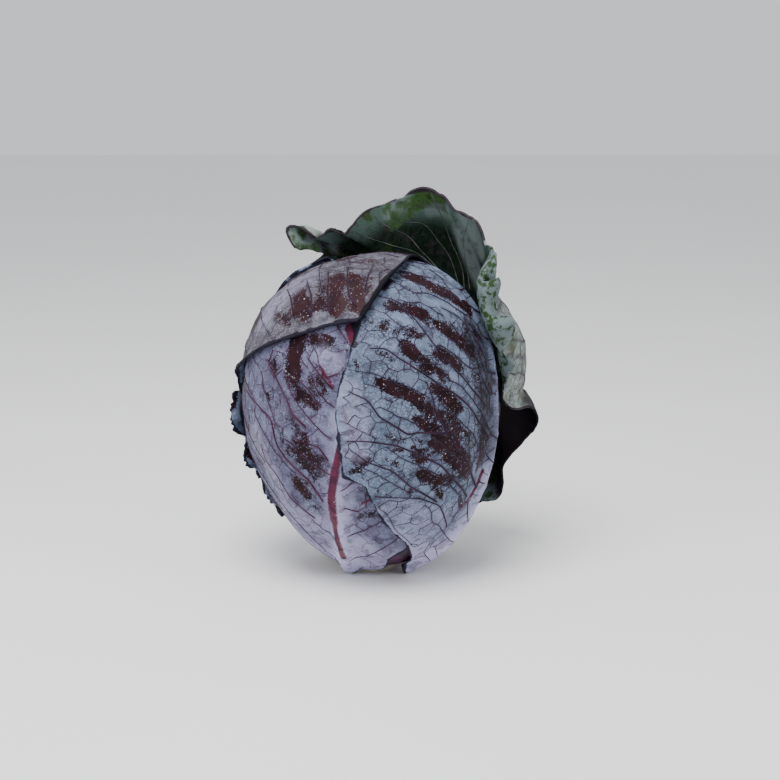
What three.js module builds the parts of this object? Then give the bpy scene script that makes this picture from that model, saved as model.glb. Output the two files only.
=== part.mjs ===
// A red cabbage head standing on its cut stem: a dense heart wrapped by tight waxy leaves, with one large
// green-blue outer leaf cupped behind it. Millimetres, +Z up, origin at the centre of the cut stem's flat face,
// and the front of the head towards -Y.
//
// Every leaf is a sheet laid over the head. Its plane coordinates are degrees of arc around the leaf's own
// centre, x to the leaf's right as seen from outside and y along its midrib towards the tip. Leaves are stacked
// in order, each one resting on what is below it, so that no two of them cross.
import * as THREE from "three";

// Driving dimensions of the heart and the stem.
const HEAD_CENTRE_HEIGHT = 97.5;
const HEART_RADIUS = 73.5;
const HEART_TOP = 87.5;
const HEART_BOTTOM = 97;
const TOP_FULLNESS = 2.4;
const BOTTOM_FULLNESS = 1.85;
const HEART_BASE_HEIGHT = 5.2;
const HEART_DETAIL = 7;
const STEM_RADIUS = 14.5;
const STEM_TOP_RADIUS = 13.5;
const STEM_BEVEL = 0.8;
const STEM_HEIGHT = 4.8;
const STEM_SIDES = 40;

// How leaves lie on each other.
const LEAF_GAP = 0.9;
const COVER_MARGIN = 4;
const COVER_FALL = 14;
const MM_PER_DEGREE = 1.4;
const STEP_DEGREES = 0.4;
const OPENING_POWER = 2;
const EDGE_REST = 1.4;
const BASE_CUT_HEIGHT = 0.4;

// Swellings and hollows of the head: [azimuth, latitude, spread in degrees, height in mm].
const LUMPS = [
  [-95, -50, 30, -3.5],
  [60, 58, 32, 2.5],
  [70, -30, 30, 1.5],
  [74, -60, 22, 3],
  [-60, 5, 35, 1.2],
  [10, 20, 26, 1.6],
  [-25, 55, 24, 1.2],
  [170, 10, 40, -2.5],
];

const RADIANS = Math.PI / 180;

// Azimuth 0 is the front (-Y) and 90 is +X; latitude 90 is straight up.
function direction(azimuth, latitude) {
  const a = azimuth * RADIANS;
  const l = latitude * RADIANS;
  return new THREE.Vector3(Math.cos(l) * Math.sin(a), -Math.cos(l) * Math.cos(a), Math.sin(l));
}

function smooth(low, high, value) {
  const t = Math.min(1, Math.max(0, (value - low) / (high - low)));
  return t * t * (3 - 2 * t);
}

function bell(value, spread) {
  return Math.exp(-((value / spread) ** 2));
}

const lumps = LUMPS.map(([azimuth, latitude, spread, height]) => ({
  way: direction(azimuth, latitude),
  spread,
  height,
}));

function degreesBetween(a, b) {
  return Math.acos(Math.min(1, Math.max(-1, a.dot(b)))) / RADIANS;
}

// Distance from the head's centre to the heart's surface.
function heartRadius(d) {
  const side = Math.hypot(d.x, d.y) / HEART_RADIUS;
  const above = d.z > 0;
  const upright = Math.abs(d.z) / (above ? HEART_TOP : HEART_BOTTOM);
  const n = above ? TOP_FULLNESS : BOTTOM_FULLNESS;
  let r = (side ** n + upright ** n) ** (-1 / n);
  for (const lump of lumps) r += lump.height * bell(degreesBetween(d, lump.way), lump.spread);
  return r;
}

// The leaves from the innermost outwards. A margin point is [azimuth, latitude, curl, lift]: where the edge
// passes, how many degrees its rim turns outwards, and how far it stands off, in mm.
const LEAVES = [
  {
    name: "leaf_front_left",
    centre: [-12, 0],
    tilt: 5,
    cells: 20,
    thickness: 1.2,
    rib: { width: 9.5, tipWidth: 3, height: 4.6, tipHeight: 1.0 },
    curlReach: 8,
    margin: [
      [12, -78], [18, -72], [16.5, -65.5], [26, -58.5], [38, -42], [42, -18], [40, 8], [32, 32], [12, 54],
      [-15, 62], [-45, 60], [-75, 48], [-98, 25], [-106, 0], [-104, -25], [-96, -45], [-78, -62],
      [-54, -73], [-28, -78.5], [-6, -79.5],
    ],
    colour: 0x7c7f96,
  },
  {
    name: "leaf_front_right",
    centre: [72, 0],
    tilt: 7,
    cells: 22,
    thickness: 1.2,
    rib: { width: 10, tipWidth: 3, height: 5, tipHeight: 1.0 },
    curlReach: 7,
    ragged: 0.5,
    margin: [
      [62, -77], [42, -73], [34, -64, 10], [23, -53], [11, -44], [4.5, -36], [-0.5, -27, 15], [-3, -21.5, 25],
      [-11, -16.5, 35, 0.4], [-12.3, -8, 30, 0.5], [-13, 2, 15, 0.3], [-14.5, 12, 20, 0.5],
      [-12.5, 21, 15, 0.3], [-10, 29, 25, 0.5], [-8, 37], [-8, 45], [-12, 56], [-12, 67], [-4, 77],
      [40, 84], [112, 82], [144, 70], [152, 56], [152, 34], [151, 5], [142, -30], [122, -58], [90, -74],
    ],
    colour: 0x75798f,
  },
  {
    name: "leaf_top_left",
    centre: [-142, 32],
    tilt: 0,
    cells: 24,
    thickness: 1.3,
    rib: { width: 10, tipWidth: 2.5, height: 5, tipHeight: 0.5 },
    curlReach: 7,
    ragged: 0.35,
    margin: [
      [-136, -74], [-122, -60], [-114, -40], [-109, -20], [-102, -2], [-95, 8, 45, 0.5], [-87, 16, 70, 1],
      [-77, 21.5, 40, 0.8], [-64, 27.5, 30, 0.6], [-54, 32, 20, 0.6], [-44, 35.5, 15, 0.6],
      [-36, 38, 15, 0.6], [-28, 40.3, 15, 0.6], [-20, 42, 15, 0.6], [-12, 43.2, 15, 0.7], [-5, 43.5, 20, 0.9],
      [0, 48, 35, 1.2], [7, 54, 50, 1.6], [18, 61.5, 60, 2], [38, 69, 50, 2], [75, 74, 20, 1.5], [112, 68], [132, 50],
      [142, 25], [148, -5], [156, -35], [170, -60], [-172, -73], [-153, -75.5],
    ],
    colour: 0x6d6a7c,
  },
  {
    name: "leaf_back_left",
    centre: [-132, -16],
    tilt: 0,
    cells: 20,
    thickness: 1.4,
    rib: { width: 9, tipWidth: 4, height: 4.5, tipHeight: 1.2 },
    curlReach: 8,
    ragged: 1.4,
    slack: 1.3,
    margin: [
      [-120, -68], [-107, -60], [-98, -52, 30, 0.5], [-92, -42, 50, 1], [-97, -34, 10, 0.3],
      [-90, -25, 55, 1], [-97, -15, 10, 0.3], [-89, -4, 70, 2], [-99, 5, 20, 0.5], [-110, 18], [-114, 33],
      [-112, 46], [-114, 56, 10, 0.2], [-128, 65, 10, 0.2], [-150, 64], [-166, 54], [-174, 36], [-176, 5],
      [-174, -24], [-168, -44], [-158, -57], [-148, -66], [-134, -70],
    ],
    colour: 0x66717c,
  },
  {
    name: "leaf_wrapper",
    centre: [140, 8],
    tilt: 0,
    cells: 36,
    thickness: 1.4,
    rib: { width: 11, tipWidth: 3, height: 5, tipHeight: 1.2 },
    curlReach: 3,
    bend: 11,
    crowding: 1.6,
    standOff: wrapperBelly,
    edge: [
      [20, 22, 5], [40, 32, 12], [56, 32, 24], [66, 30, 33, 20, 2], [76, 26, 38, 60, 4], [79, 24, 46, 30, 2],
      [80, 25, 54], [86, 30, 61], [94, 35, 69], [100, 36, 76], [102, 33, 83], [99, 27, 90], [95, 22, 93],
      [89, 15, 93], [84, 10, 95], [78, 2, 102], [75, -4, 110], [75, -9, 119, 70, 4],
      [71, -16, 129, 140, 10], [67, -21, 141, 165, 14], [63, -22, 154, 170, 16], [61, -18, 168, 170, 17],
      [62, -11, 180, 160, 16], [67, -3, 187, 110, 11], [70, 10, 190, 50, 5], [68, 21, 193, 10], [66, 28, 200],
      [62, 37, 206], [55, 45, 209], [49, 50, 212], [46, 54, 216], [42, 56, 219], [33, 60, 222], [21, 61, 219],
      [8, 57, 214], [-4, 51, 209], [-13, 48, 200], [-18, 48, 195], [-23, 46, 199], [-30, 47, 195],
      [-36, 46, 194], [-42, 46, 199], [-51, 44, 200], [-49, 44, 192], [-44, 47, 186], [-29, 66, 186],
      [-38, 65, 172], [-46, 62, 155], [-52, 60, 125], [-48, 62, 94], [-38, 62, 66], [-26, 56, 38],
      [-14, 42, 14], [-4, 30, 6], [10, 25, 5],
    ],
    colour: 0x4e6a5c,
  },
];

// How far the outer leaf bellies out between its midrib and its edge, in mm.
function wrapperBelly(azimuth, latitude) {
  const round = azimuth < -20 ? azimuth + 360 : azimuth;
  const right = 27 * bell(round - 106, 20) * smooth(-45, -5, latitude) * (1 - 0.6 * smooth(8, 52, latitude));
  return 3 + 5 * smooth(-66, -15, latitude) + right;
}

// Fills in a leaf's frame and its margin as smooth functions of the angle around its centre.
function prepare(leaf, below) {
  const [azimuth, latitude] = leaf.centre;
  const out = direction(azimuth, latitude);
  const east = direction(azimuth + 90, 0);
  const north = new THREE.Vector3().crossVectors(out, east);
  const turn = leaf.tilt * RADIANS;
  leaf.out = out;
  leaf.up = north.clone().multiplyScalar(Math.cos(turn)).addScaledVector(east, Math.sin(turn));
  leaf.side = east.clone().multiplyScalar(Math.cos(turn)).addScaledVector(north, -Math.sin(turn));
  leaf.stations = (leaf.edge ? stationsInSpace(leaf, below) : stationsOnHead(leaf)).sort((a, b) => a.angle - b.angle);
  leaf.base = -marginAt(leaf, -Math.PI / 2).reach;
  leaf.tip = marginAt(leaf, Math.PI / 2).reach;
}

function stationsOnHead(leaf) {
  return leaf.margin.map(([az, lat, curl = 0, lift = 0]) => {
    const [x, y] = planeOf(leaf, direction(az, lat));
    return { angle: Math.atan2(y, x), reach: Math.hypot(x, y), curl, lift, flap: 0, open: 0 };
  });
}

function stationsInSpace(leaf, below) {
  return leaf.edge.map(([px, py, pz, curl = 0, flap = 0]) => {
    const place = new THREE.Vector3(px, py, pz - HEAD_CENTRE_HEIGHT);
    const d = place.clone().normalize();
    const [x, y] = planeOf(leaf, d);
    const reach = Math.hypot(x, y) + flap / MM_PER_DEGREE;
    const open = Math.max(EDGE_REST, place.length() - restingRadius(below, d));
    return { angle: Math.atan2(y, x), reach, curl, lift: 0, flap, open };
  });
}

function planeOf(leaf, d) {
  const arc = degreesBetween(d, leaf.out);
  const x = d.dot(leaf.side);
  const y = d.dot(leaf.up);
  const length = Math.hypot(x, y) || 1;
  return [(arc * x) / length, (arc * y) / length];
}

function directionOf(leaf, x, y) {
  const arc = Math.hypot(x, y) || 1e-9;
  const s = Math.sin(arc * RADIANS) / arc;
  return leaf.out
    .clone()
    .multiplyScalar(Math.cos(arc * RADIANS))
    .addScaledVector(leaf.side, s * x)
    .addScaledVector(leaf.up, s * y);
}

// The margin's reach, curl and lift at an angle, by a cubic through the stations on either side.
function marginAt(leaf, angle) {
  const s = leaf.stations;
  const n = s.length;
  let i = s.findIndex((station) => station.angle > angle);
  if (i < 0) i = 0;
  const at = (k) => {
    const turns = Math.floor((i + k) / n);
    const station = s[(((i + k) % n) + n) % n];
    return { ...station, angle: station.angle + turns * 2 * Math.PI };
  };
  const a = angle < s[0].angle || i > 0 ? angle : angle - 2 * Math.PI;
  const [before, left, right, after] = [at(-2), at(-1), at(0), at(1)];
  const span = right.angle - left.angle;
  const t = (a - left.angle) / span;
  const value = (key) => {
    const slopeLeft = ((right[key] - before[key]) / (right.angle - before.angle)) * span;
    const slopeRight = ((after[key] - left[key]) / (after.angle - left.angle)) * span;
    return (
      (2 * t ** 3 - 3 * t ** 2 + 1) * left[key] +
      (t ** 3 - 2 * t ** 2 + t) * slopeLeft +
      (3 * t ** 2 - 2 * t ** 3) * right[key] +
      (t ** 3 - t ** 2) * slopeRight
    );
  };
  return Object.fromEntries(Object.keys(left).map((key) => [key, value(key)]));
}

// Small tears and nibbles along a margin, in degrees.
function raggedness(leaf, angle) {
  if (!leaf.ragged) return 0;
  const phase = leaf.centre[0];
  return (
    leaf.ragged *
    (0.6 * Math.sin(17 * angle + phase) + 0.5 * Math.sin(29 * angle + 2 * phase) + 0.4 * Math.sin(41 * angle))
  );
}

// The midrib's height above the blade, in mm.
function ribHeight(leaf, x, y) {
  const t = Math.min(1, Math.max(0, (y - leaf.base) / (leaf.tip - leaf.base)));
  const { width, tipWidth, height, tipHeight } = leaf.rib;
  const across = Math.abs(x * MM_PER_DEGREE) / (width + (tipWidth - width) * t);
  const crest = height * (1 - t) ** 1.4 + tipHeight * t * (1 - smooth(0.85, 1, t));
  return across < 1 ? crest * (1 - across ** 2) ** 2 : 0;
}

// How much of a leaf lies under direction d: its blade and rib, fading out beyond its margin.
function coverHeight(leaf, d) {
  const [x, y] = planeOf(leaf, d);
  const beyond = (Math.hypot(x, y) - marginAt(leaf, Math.atan2(y, x)).reach) * MM_PER_DEGREE;
  const share = 1 - smooth(COVER_MARGIN, COVER_MARGIN + COVER_FALL, beyond);
  return share && share * (leaf.thickness + LEAF_GAP + ribHeight(leaf, x, y));
}

function onHead(d, radius) {
  return d.clone().multiplyScalar(radius).setZ(d.z * radius + HEAD_CENTRE_HEIGHT);
}

// How far out a leaf rests on the heart and the leaves below it.
function restingRadius(below, d) {
  return below.reduce((radius, other) => radius + coverHeight(other, d), heartRadius(d) + LEAF_GAP);
}

// The leaf's inner face before its rim is curled. A leaf with an edge in space opens out towards that edge.
function laidPoint(leaf, below, x, y) {
  const d = directionOf(leaf, x, y);
  let radius = restingRadius(below, d) + (leaf.slack ?? 0);
  if (leaf.standOff) {
    const edge = marginAt(leaf, Math.atan2(y, x));
    const share = Math.min(1, Math.hypot(x, y) / (edge.reach - edge.flap / MM_PER_DEGREE)) ** OPENING_POWER;
    const belly = leaf.standOff(Math.atan2(d.x, -d.y) / RADIANS, Math.asin(d.z) / RADIANS);
    radius += belly * (1 - share) + edge.open * share;
  }
  return onHead(d, radius);
}

// The leaf's inner face: the laid sheet, with its rim lifted and curled outwards.
function bladePoint(leaf, below, x, y) {
  const arc = Math.hypot(x, y);
  const angle = Math.atan2(y, x);
  const edge = marginAt(leaf, angle);
  const inside = (edge.reach - arc) * MM_PER_DEGREE;
  const point = laidPoint(leaf, below, x, y);
  const curled = leaf.curlReach + edge.flap;
  const rim = 1 - smooth(0, curled, inside);
  if (rim === 0 || (edge.curl === 0 && edge.lift === 0)) return point;
  const fold = Math.max(0, Math.min(arc, edge.reach - curled / MM_PER_DEGREE));
  const here = (r, a) => laidPoint(leaf, below, r * Math.cos(a), r * Math.sin(a));
  const along = here(fold + STEP_DEGREES, angle).sub(here(fold - STEP_DEGREES, angle)).normalize();
  const swing = STEP_DEGREES / Math.max(fold, 1);
  const round = here(fold, angle + swing).sub(here(fold, angle - swing)).normalize();
  const normal = new THREE.Vector3().crossVectors(along, round).normalize();
  const s = Math.max(0, curled - inside);
  const bend = Math.min(leaf.bend ?? curled, curled);
  const turned = Math.min(s, bend);
  const curvature = (edge.curl * RADIANS) / bend;
  if (Math.abs(curvature) > 1e-5) {
    const past = s - turned;
    const [sine, cosine] = [Math.sin(curvature * turned), Math.cos(curvature * turned)];
    point.addScaledVector(along, sine / curvature + past * cosine - s);
    point.addScaledVector(normal, (1 - cosine) / curvature + past * sine);
  }
  return point.addScaledVector(normal, edge.lift * rim);
}

// A square grid laid onto the leaf: rings follow the margin and the middle column is the midrib.
function planePoint(leaf, u, v) {
  const r = Math.max(Math.abs(u), Math.abs(v));
  if (r === 0) return [0, 0];
  const sideways = Math.abs(u) >= Math.abs(v);
  const angle = sideways
    ? (Math.PI / 4) * (v / u) + (u < 0 ? Math.PI : 0)
    : Math.PI / 2 - (Math.PI / 4) * (u / v) + (v < 0 ? Math.PI : 0);
  const turned = Math.atan2(Math.sin(angle), Math.cos(angle));
  const reach = marginAt(leaf, turned).reach + raggedness(leaf, turned) * smooth(0.7, 1, r);
  const arc = reach * (1 - (1 - r) ** (leaf.crowding ?? 1.25));
  return [arc * Math.cos(turned), arc * Math.sin(turned)];
}

function leafGeometry(leaf, below) {
  const n = leaf.cells;
  const inner = [];
  const outer = [];
  for (let j = 0; j <= n; j += 1) {
    for (let i = 0; i <= n; i += 1) {
      const [x, y] = planePoint(leaf, (2 * i) / n - 1, (2 * j) / n - 1);
      const point = bladePoint(leaf, below, x, y);
      const right = bladePoint(leaf, below, x + STEP_DEGREES, y).sub(bladePoint(leaf, below, x - STEP_DEGREES, y));
      const up = bladePoint(leaf, below, x, y + STEP_DEGREES).sub(bladePoint(leaf, below, x, y - STEP_DEGREES));
      const normal = right.cross(up).normalize();
      const face = point.clone().addScaledVector(normal, leaf.thickness + ribHeight(leaf, x, y));
      inner.push(point);
      outer.push(face.setZ(Math.max(face.z, BASE_CUT_HEIGHT)));
    }
  }
  const positions = [...outer, ...inner].flatMap((p) => [p.x, p.y, p.z]);
  const under = (n + 1) ** 2;
  const at = (i, j) => j * (n + 1) + i;
  const faces = [];
  for (let j = 0; j < n; j += 1) {
    for (let i = 0; i < n; i += 1) {
      const [a, b, c, d] = [at(i, j), at(i + 1, j), at(i + 1, j + 1), at(i, j + 1)];
      const split = (i < n / 2) === (j < n / 2) ? [[a, b, c], [a, c, d]] : [[a, b, d], [b, c, d]];
      for (const [p, q, r] of split) faces.push(p, q, r, under + p, under + r, under + q);
    }
  }
  const rim = [];
  for (let i = 0; i < n; i += 1) rim.push(at(i, 0));
  for (let j = 0; j < n; j += 1) rim.push(at(n, j));
  for (let i = n; i > 0; i -= 1) rim.push(at(i, n));
  for (let j = n; j > 0; j -= 1) rim.push(at(0, j));
  rim.forEach((p, k) => {
    const q = rim[(k + 1) % rim.length];
    faces.push(p, under + q, q, p, under + p, under + q);
  });
  const geometry = new THREE.BufferGeometry();
  geometry.setAttribute("position", new THREE.Float32BufferAttribute(positions, 3));
  geometry.setIndex(faces);
  geometry.computeVertexNormals();
  return geometry;
}

// The heart: the tight ball of inner leaves, flattened underneath where the stem leaves it.
function heartGeometry() {
  const geometry = new THREE.IcosahedronGeometry(1, HEART_DETAIL);
  const position = geometry.getAttribute("position");
  for (let i = 0; i < position.count; i += 1) {
    const d = new THREE.Vector3().fromBufferAttribute(position, i).normalize();
    const p = onHead(d, heartRadius(d));
    position.setXYZ(i, p.x, p.y, Math.max(p.z, HEART_BASE_HEIGHT));
  }
  geometry.computeVertexNormals();
  return geometry;
}

// The cut stem: its flat face is what the head stands on.
function stemGeometry() {
  const profile = [
    [0, 0],
    [STEM_RADIUS - STEM_BEVEL, 0],
    [STEM_RADIUS, STEM_BEVEL],
    [STEM_TOP_RADIUS, STEM_HEIGHT],
    [0, STEM_HEIGHT],
  ].map(([x, y]) => new THREE.Vector2(x, y));
  return new THREE.LatheGeometry(profile, STEM_SIDES).rotateX(Math.PI / 2);
}

function namedMesh(name, geometry, colour, roughness) {
  const material = new THREE.MeshStandardMaterial({ color: colour, roughness, metalness: 0 });
  const mesh = new THREE.Mesh(geometry, material);
  mesh.name = name;
  return mesh;
}

const cabbage = new THREE.Group();
cabbage.add(namedMesh("stem", stemGeometry(), 0xcfc6b2, 0.7));
cabbage.add(namedMesh("heart", heartGeometry(), 0x4a2236, 0.45));
LEAVES.forEach((leaf, k) => prepare(leaf, LEAVES.slice(0, k)));
LEAVES.forEach((leaf, k) => {
  cabbage.add(namedMesh(leaf.name, leafGeometry(leaf, LEAVES.slice(0, k)), leaf.colour, 0.5));
});

export default cabbage;
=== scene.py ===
"""Dresses the red cabbage head: veined waxy leaves, heart, cut stem and dew, on a plain stage.

Each leaf is a sheet laid over the head. Its plane coordinates are degrees of arc around the leaf's own
centre, x to the leaf's right as seen from outside and y along its midrib towards the tip. Leaves are
stacked in order, each one resting on what is below it. Shapes are worked out in millimetres and turned
into metres at the end.
"""

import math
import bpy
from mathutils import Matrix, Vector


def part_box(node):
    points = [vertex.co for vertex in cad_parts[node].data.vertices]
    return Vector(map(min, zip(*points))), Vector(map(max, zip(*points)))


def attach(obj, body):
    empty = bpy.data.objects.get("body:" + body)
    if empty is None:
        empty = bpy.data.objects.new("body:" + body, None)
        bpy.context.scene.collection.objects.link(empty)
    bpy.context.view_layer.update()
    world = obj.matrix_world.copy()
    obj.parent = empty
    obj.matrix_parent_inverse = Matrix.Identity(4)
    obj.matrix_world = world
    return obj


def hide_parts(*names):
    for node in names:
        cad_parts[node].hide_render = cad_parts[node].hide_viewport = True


bl_info = {
    "name": "Red cabbage head",
    "version": (1, 0, 0),
    "blender": (4, 5, 0),
    "location": "3D View > Sidebar > Cabbage",
    "description": "Builds the leaves, veins, heart, stem and dew of a red cabbage head",
    "category": "Add Mesh",
}

import bmesh
import bpy
import numpy as np
from mathutils import Matrix, Vector
from mathutils.geometry import delaunay_2d_cdt
from mathutils.kdtree import KDTree

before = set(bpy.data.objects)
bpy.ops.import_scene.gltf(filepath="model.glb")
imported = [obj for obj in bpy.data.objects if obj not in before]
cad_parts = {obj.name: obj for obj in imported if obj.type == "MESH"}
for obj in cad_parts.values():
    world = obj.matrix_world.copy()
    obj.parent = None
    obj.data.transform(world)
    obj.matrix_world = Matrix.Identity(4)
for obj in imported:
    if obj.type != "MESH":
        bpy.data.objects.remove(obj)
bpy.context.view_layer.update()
MM = 0.001

# The head, as its solids have it, in mm and degrees, but the stem in metres.
STEM_LOW, STEM_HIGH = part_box("stem")
STEM_TAPER = 1 * MM
STEM_BEVEL = 0.8 * MM
HEAD_CENTRE_HEIGHT = 97.5
HEART_RADIUS = 73.5
HEART_TOP = 87.5
HEART_BOTTOM = 97
TOP_FULLNESS = 2.4
BOTTOM_FULLNESS = 1.85
HEART_BASE_HEIGHT = STEM_HIGH.z / MM + 0.4
HEART_FOLD = 0.3
LEAF_GAP = 0.9
COVER_MARGIN = 4
COVER_FALL = 14
MM_PER_DEGREE = 1.4
STEP_DEGREES = 0.25
OPENING_POWER = 2
EDGE_REST = 1.4
BASE_CUT_HEIGHT = 0.4

# Low swellings and dents of the heart: azimuth, latitude, spread in degrees and height in mm.
LUMPS = [
    (-95, -50, 30, -3.5),
    (60, 58, 32, 2.5),
    (70, -30, 30, 1.5),
    (74, -60, 22, 3),
    (-60, 5, 35, 1.2),
    (10, 20, 26, 1.6),
    (-25, 55, 24, 1.2),
    (170, 10, 40, -2.5),
]

# The photograph's viewpoint.
CAMERA_TARGET = Vector((0.0114, 0.0, 0.1085))
CAMERA_DISTANCE = 1.1
CAMERA_ELEVATION = 12
CAMERA_LENS = 85
CAMERA_SENSOR = 36

# The studio: each lamp's name, place, size, power and colour, all aimed at the middle of the head.
LAMP_AIM = Vector((0, 0, 0.1))
LAMPS = [
    ("Overhead", (-0.15, -0.35, 1.1), 0.7, 16, (1.0, 0.99, 0.98)),
    ("Left fill", (-1.1, -0.9, 0.7), 0.8, 7, (0.95, 0.97, 1.0)),
    ("Right fill", (1.1, -0.7, 0.6), 0.7, 4, (1.0, 0.98, 0.96)),
]
ROOM_COLOUR = (0.95, 0.97, 1.0, 1)
ROOM_LIGHT = 0.85

# A leaf's net: the rows tried, how far out they run and how far from the margin veins end, in degrees, how
# rows bend, the share of cross veins left out, how clear of the placed veins the main ones stay, a place off
# every leaf, and the main veins' half width in mm on the side that the photograph doesn't show.
NET_ROWS = range(-26, 18)
NET_REACH = 125
NET_EDGE = 1.2
ROW_BEND = 0.006
MISSING_VEINS = 0.14
CLEAR_OF_SHOWN = 2
FAR_AWAY = 999
UNSEEN_MAIN_VEIN = 0.7

# Relief on the outer faces, in mm: heights, and how wide the ridges and long the waves are.
MAIN_RIDGE, MAIN_RIDGE_SPREAD = 0.42, 1.7
FINE_RIDGE, FINE_RIDGE_SPREAD = 0.14, 1.2
WAVE_HEIGHT, WAVE_LENGTH = 0.22, 26
FOLD_HEIGHT = 0.6

# How far a vein's tube sinks into the outer face and stands off the inner one, as shares of its half width.
VEIN_SINK = 0.4
INNER_VEIN_RISE = 0.3

# A band is full up to the first share of its half width and gone at the second.
BAND_FULL, BAND_GONE = 0.55, 1.35

# How many waves cross in a random field, and about how much they add up to.
WAVES_IN_FIELD = 7
WAVE_SUM = 3.2

# Dew: tries on each leaf, the drops' least and added radius in mm, how rare large ones are, their height as
# a share of the radius, how far in from the rim they start, in degrees, and how far they are raised, in mm.
DEW_TRIES = 6000
DEW_RADIUS, DEW_ADDED, DEW_RARITY = 0.14, 0.4, 8
DEW_HEIGHT = 0.7
DEW_MARGIN = 4
DEW_RAISED = 0.1

# A flap narrower than the least, in mm, keeps the leaf's own colours; a wider one fades over the next few.
LEAST_FLAP = 3
FLAP_FADE = 9

# The gap between a leaf's two grids before they are laid on the head.
SHEET_GAP = 0.001


def direction(azimuth, latitude):
    """Azimuth 0 is the front (-Y) and 90 is +X; latitude 90 is straight up."""
    turn, rise = np.radians(azimuth), np.radians(latitude)
    parts = (np.cos(rise) * np.sin(turn), -np.cos(rise) * np.cos(turn), np.sin(rise))
    return np.stack(np.broadcast_arrays(*parts), -1)


def azimuth_of(d):
    return np.degrees(np.arctan2(d[..., 0], -d[..., 1]))


def latitude_of(d):
    return np.degrees(np.arcsin(np.clip(d[..., 2], -1, 1)))


def smooth(low, high, value):
    """Eases from 0 at low to 1 at high."""
    t = np.clip((value - low) / (high - low), 0, 1)
    return t * t * (3 - 2 * t)


def bell(value, spread):
    """1 at zero, falling away to either side."""
    return np.exp(-((value / spread) ** 2))


def unit(vectors):
    return vectors / np.maximum(np.linalg.norm(vectors, axis=-1, keepdims=True), 1e-12)


def degrees_between(a, b):
    return np.degrees(np.arccos(np.clip(a @ b, -1, 1)))


LUMP_PLACES = [(direction(lump[0], lump[1]), lump[2], lump[3]) for lump in LUMPS]


def heart_radius(d):
    """Distance from the head's centre to the heart's surface, towards each direction d."""
    side = np.hypot(d[..., 0], d[..., 1]) / HEART_RADIUS
    z = d[..., 2]
    fullness = np.where(z > 0, TOP_FULLNESS, BOTTOM_FULLNESS)
    upright = np.abs(z) / np.where(z > 0, HEART_TOP, HEART_BOTTOM)
    r = (side**fullness + upright**fullness) ** (-1 / fullness)
    for centre, spread, height in LUMP_PLACES:
        r = r + height * bell(degrees_between(d, centre), spread)
    return r


def on_head(d, radius):
    return d * radius[..., None] + np.array([0, 0, HEAD_CENTRE_HEIGHT])


def wrapper_belly(azimuth, latitude):
    """How far the outer leaf bellies out between its midrib and its edge, in mm."""
    turned = np.where(azimuth < -20, azimuth + 360, azimuth)
    right = 27 * bell(turned - 106, 20) * smooth(-45, -5, latitude)
    right = right * (1 - 0.6 * smooth(8, 52, latitude))
    return 3 + 5 * smooth(-66, -15, latitude) + right


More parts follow.
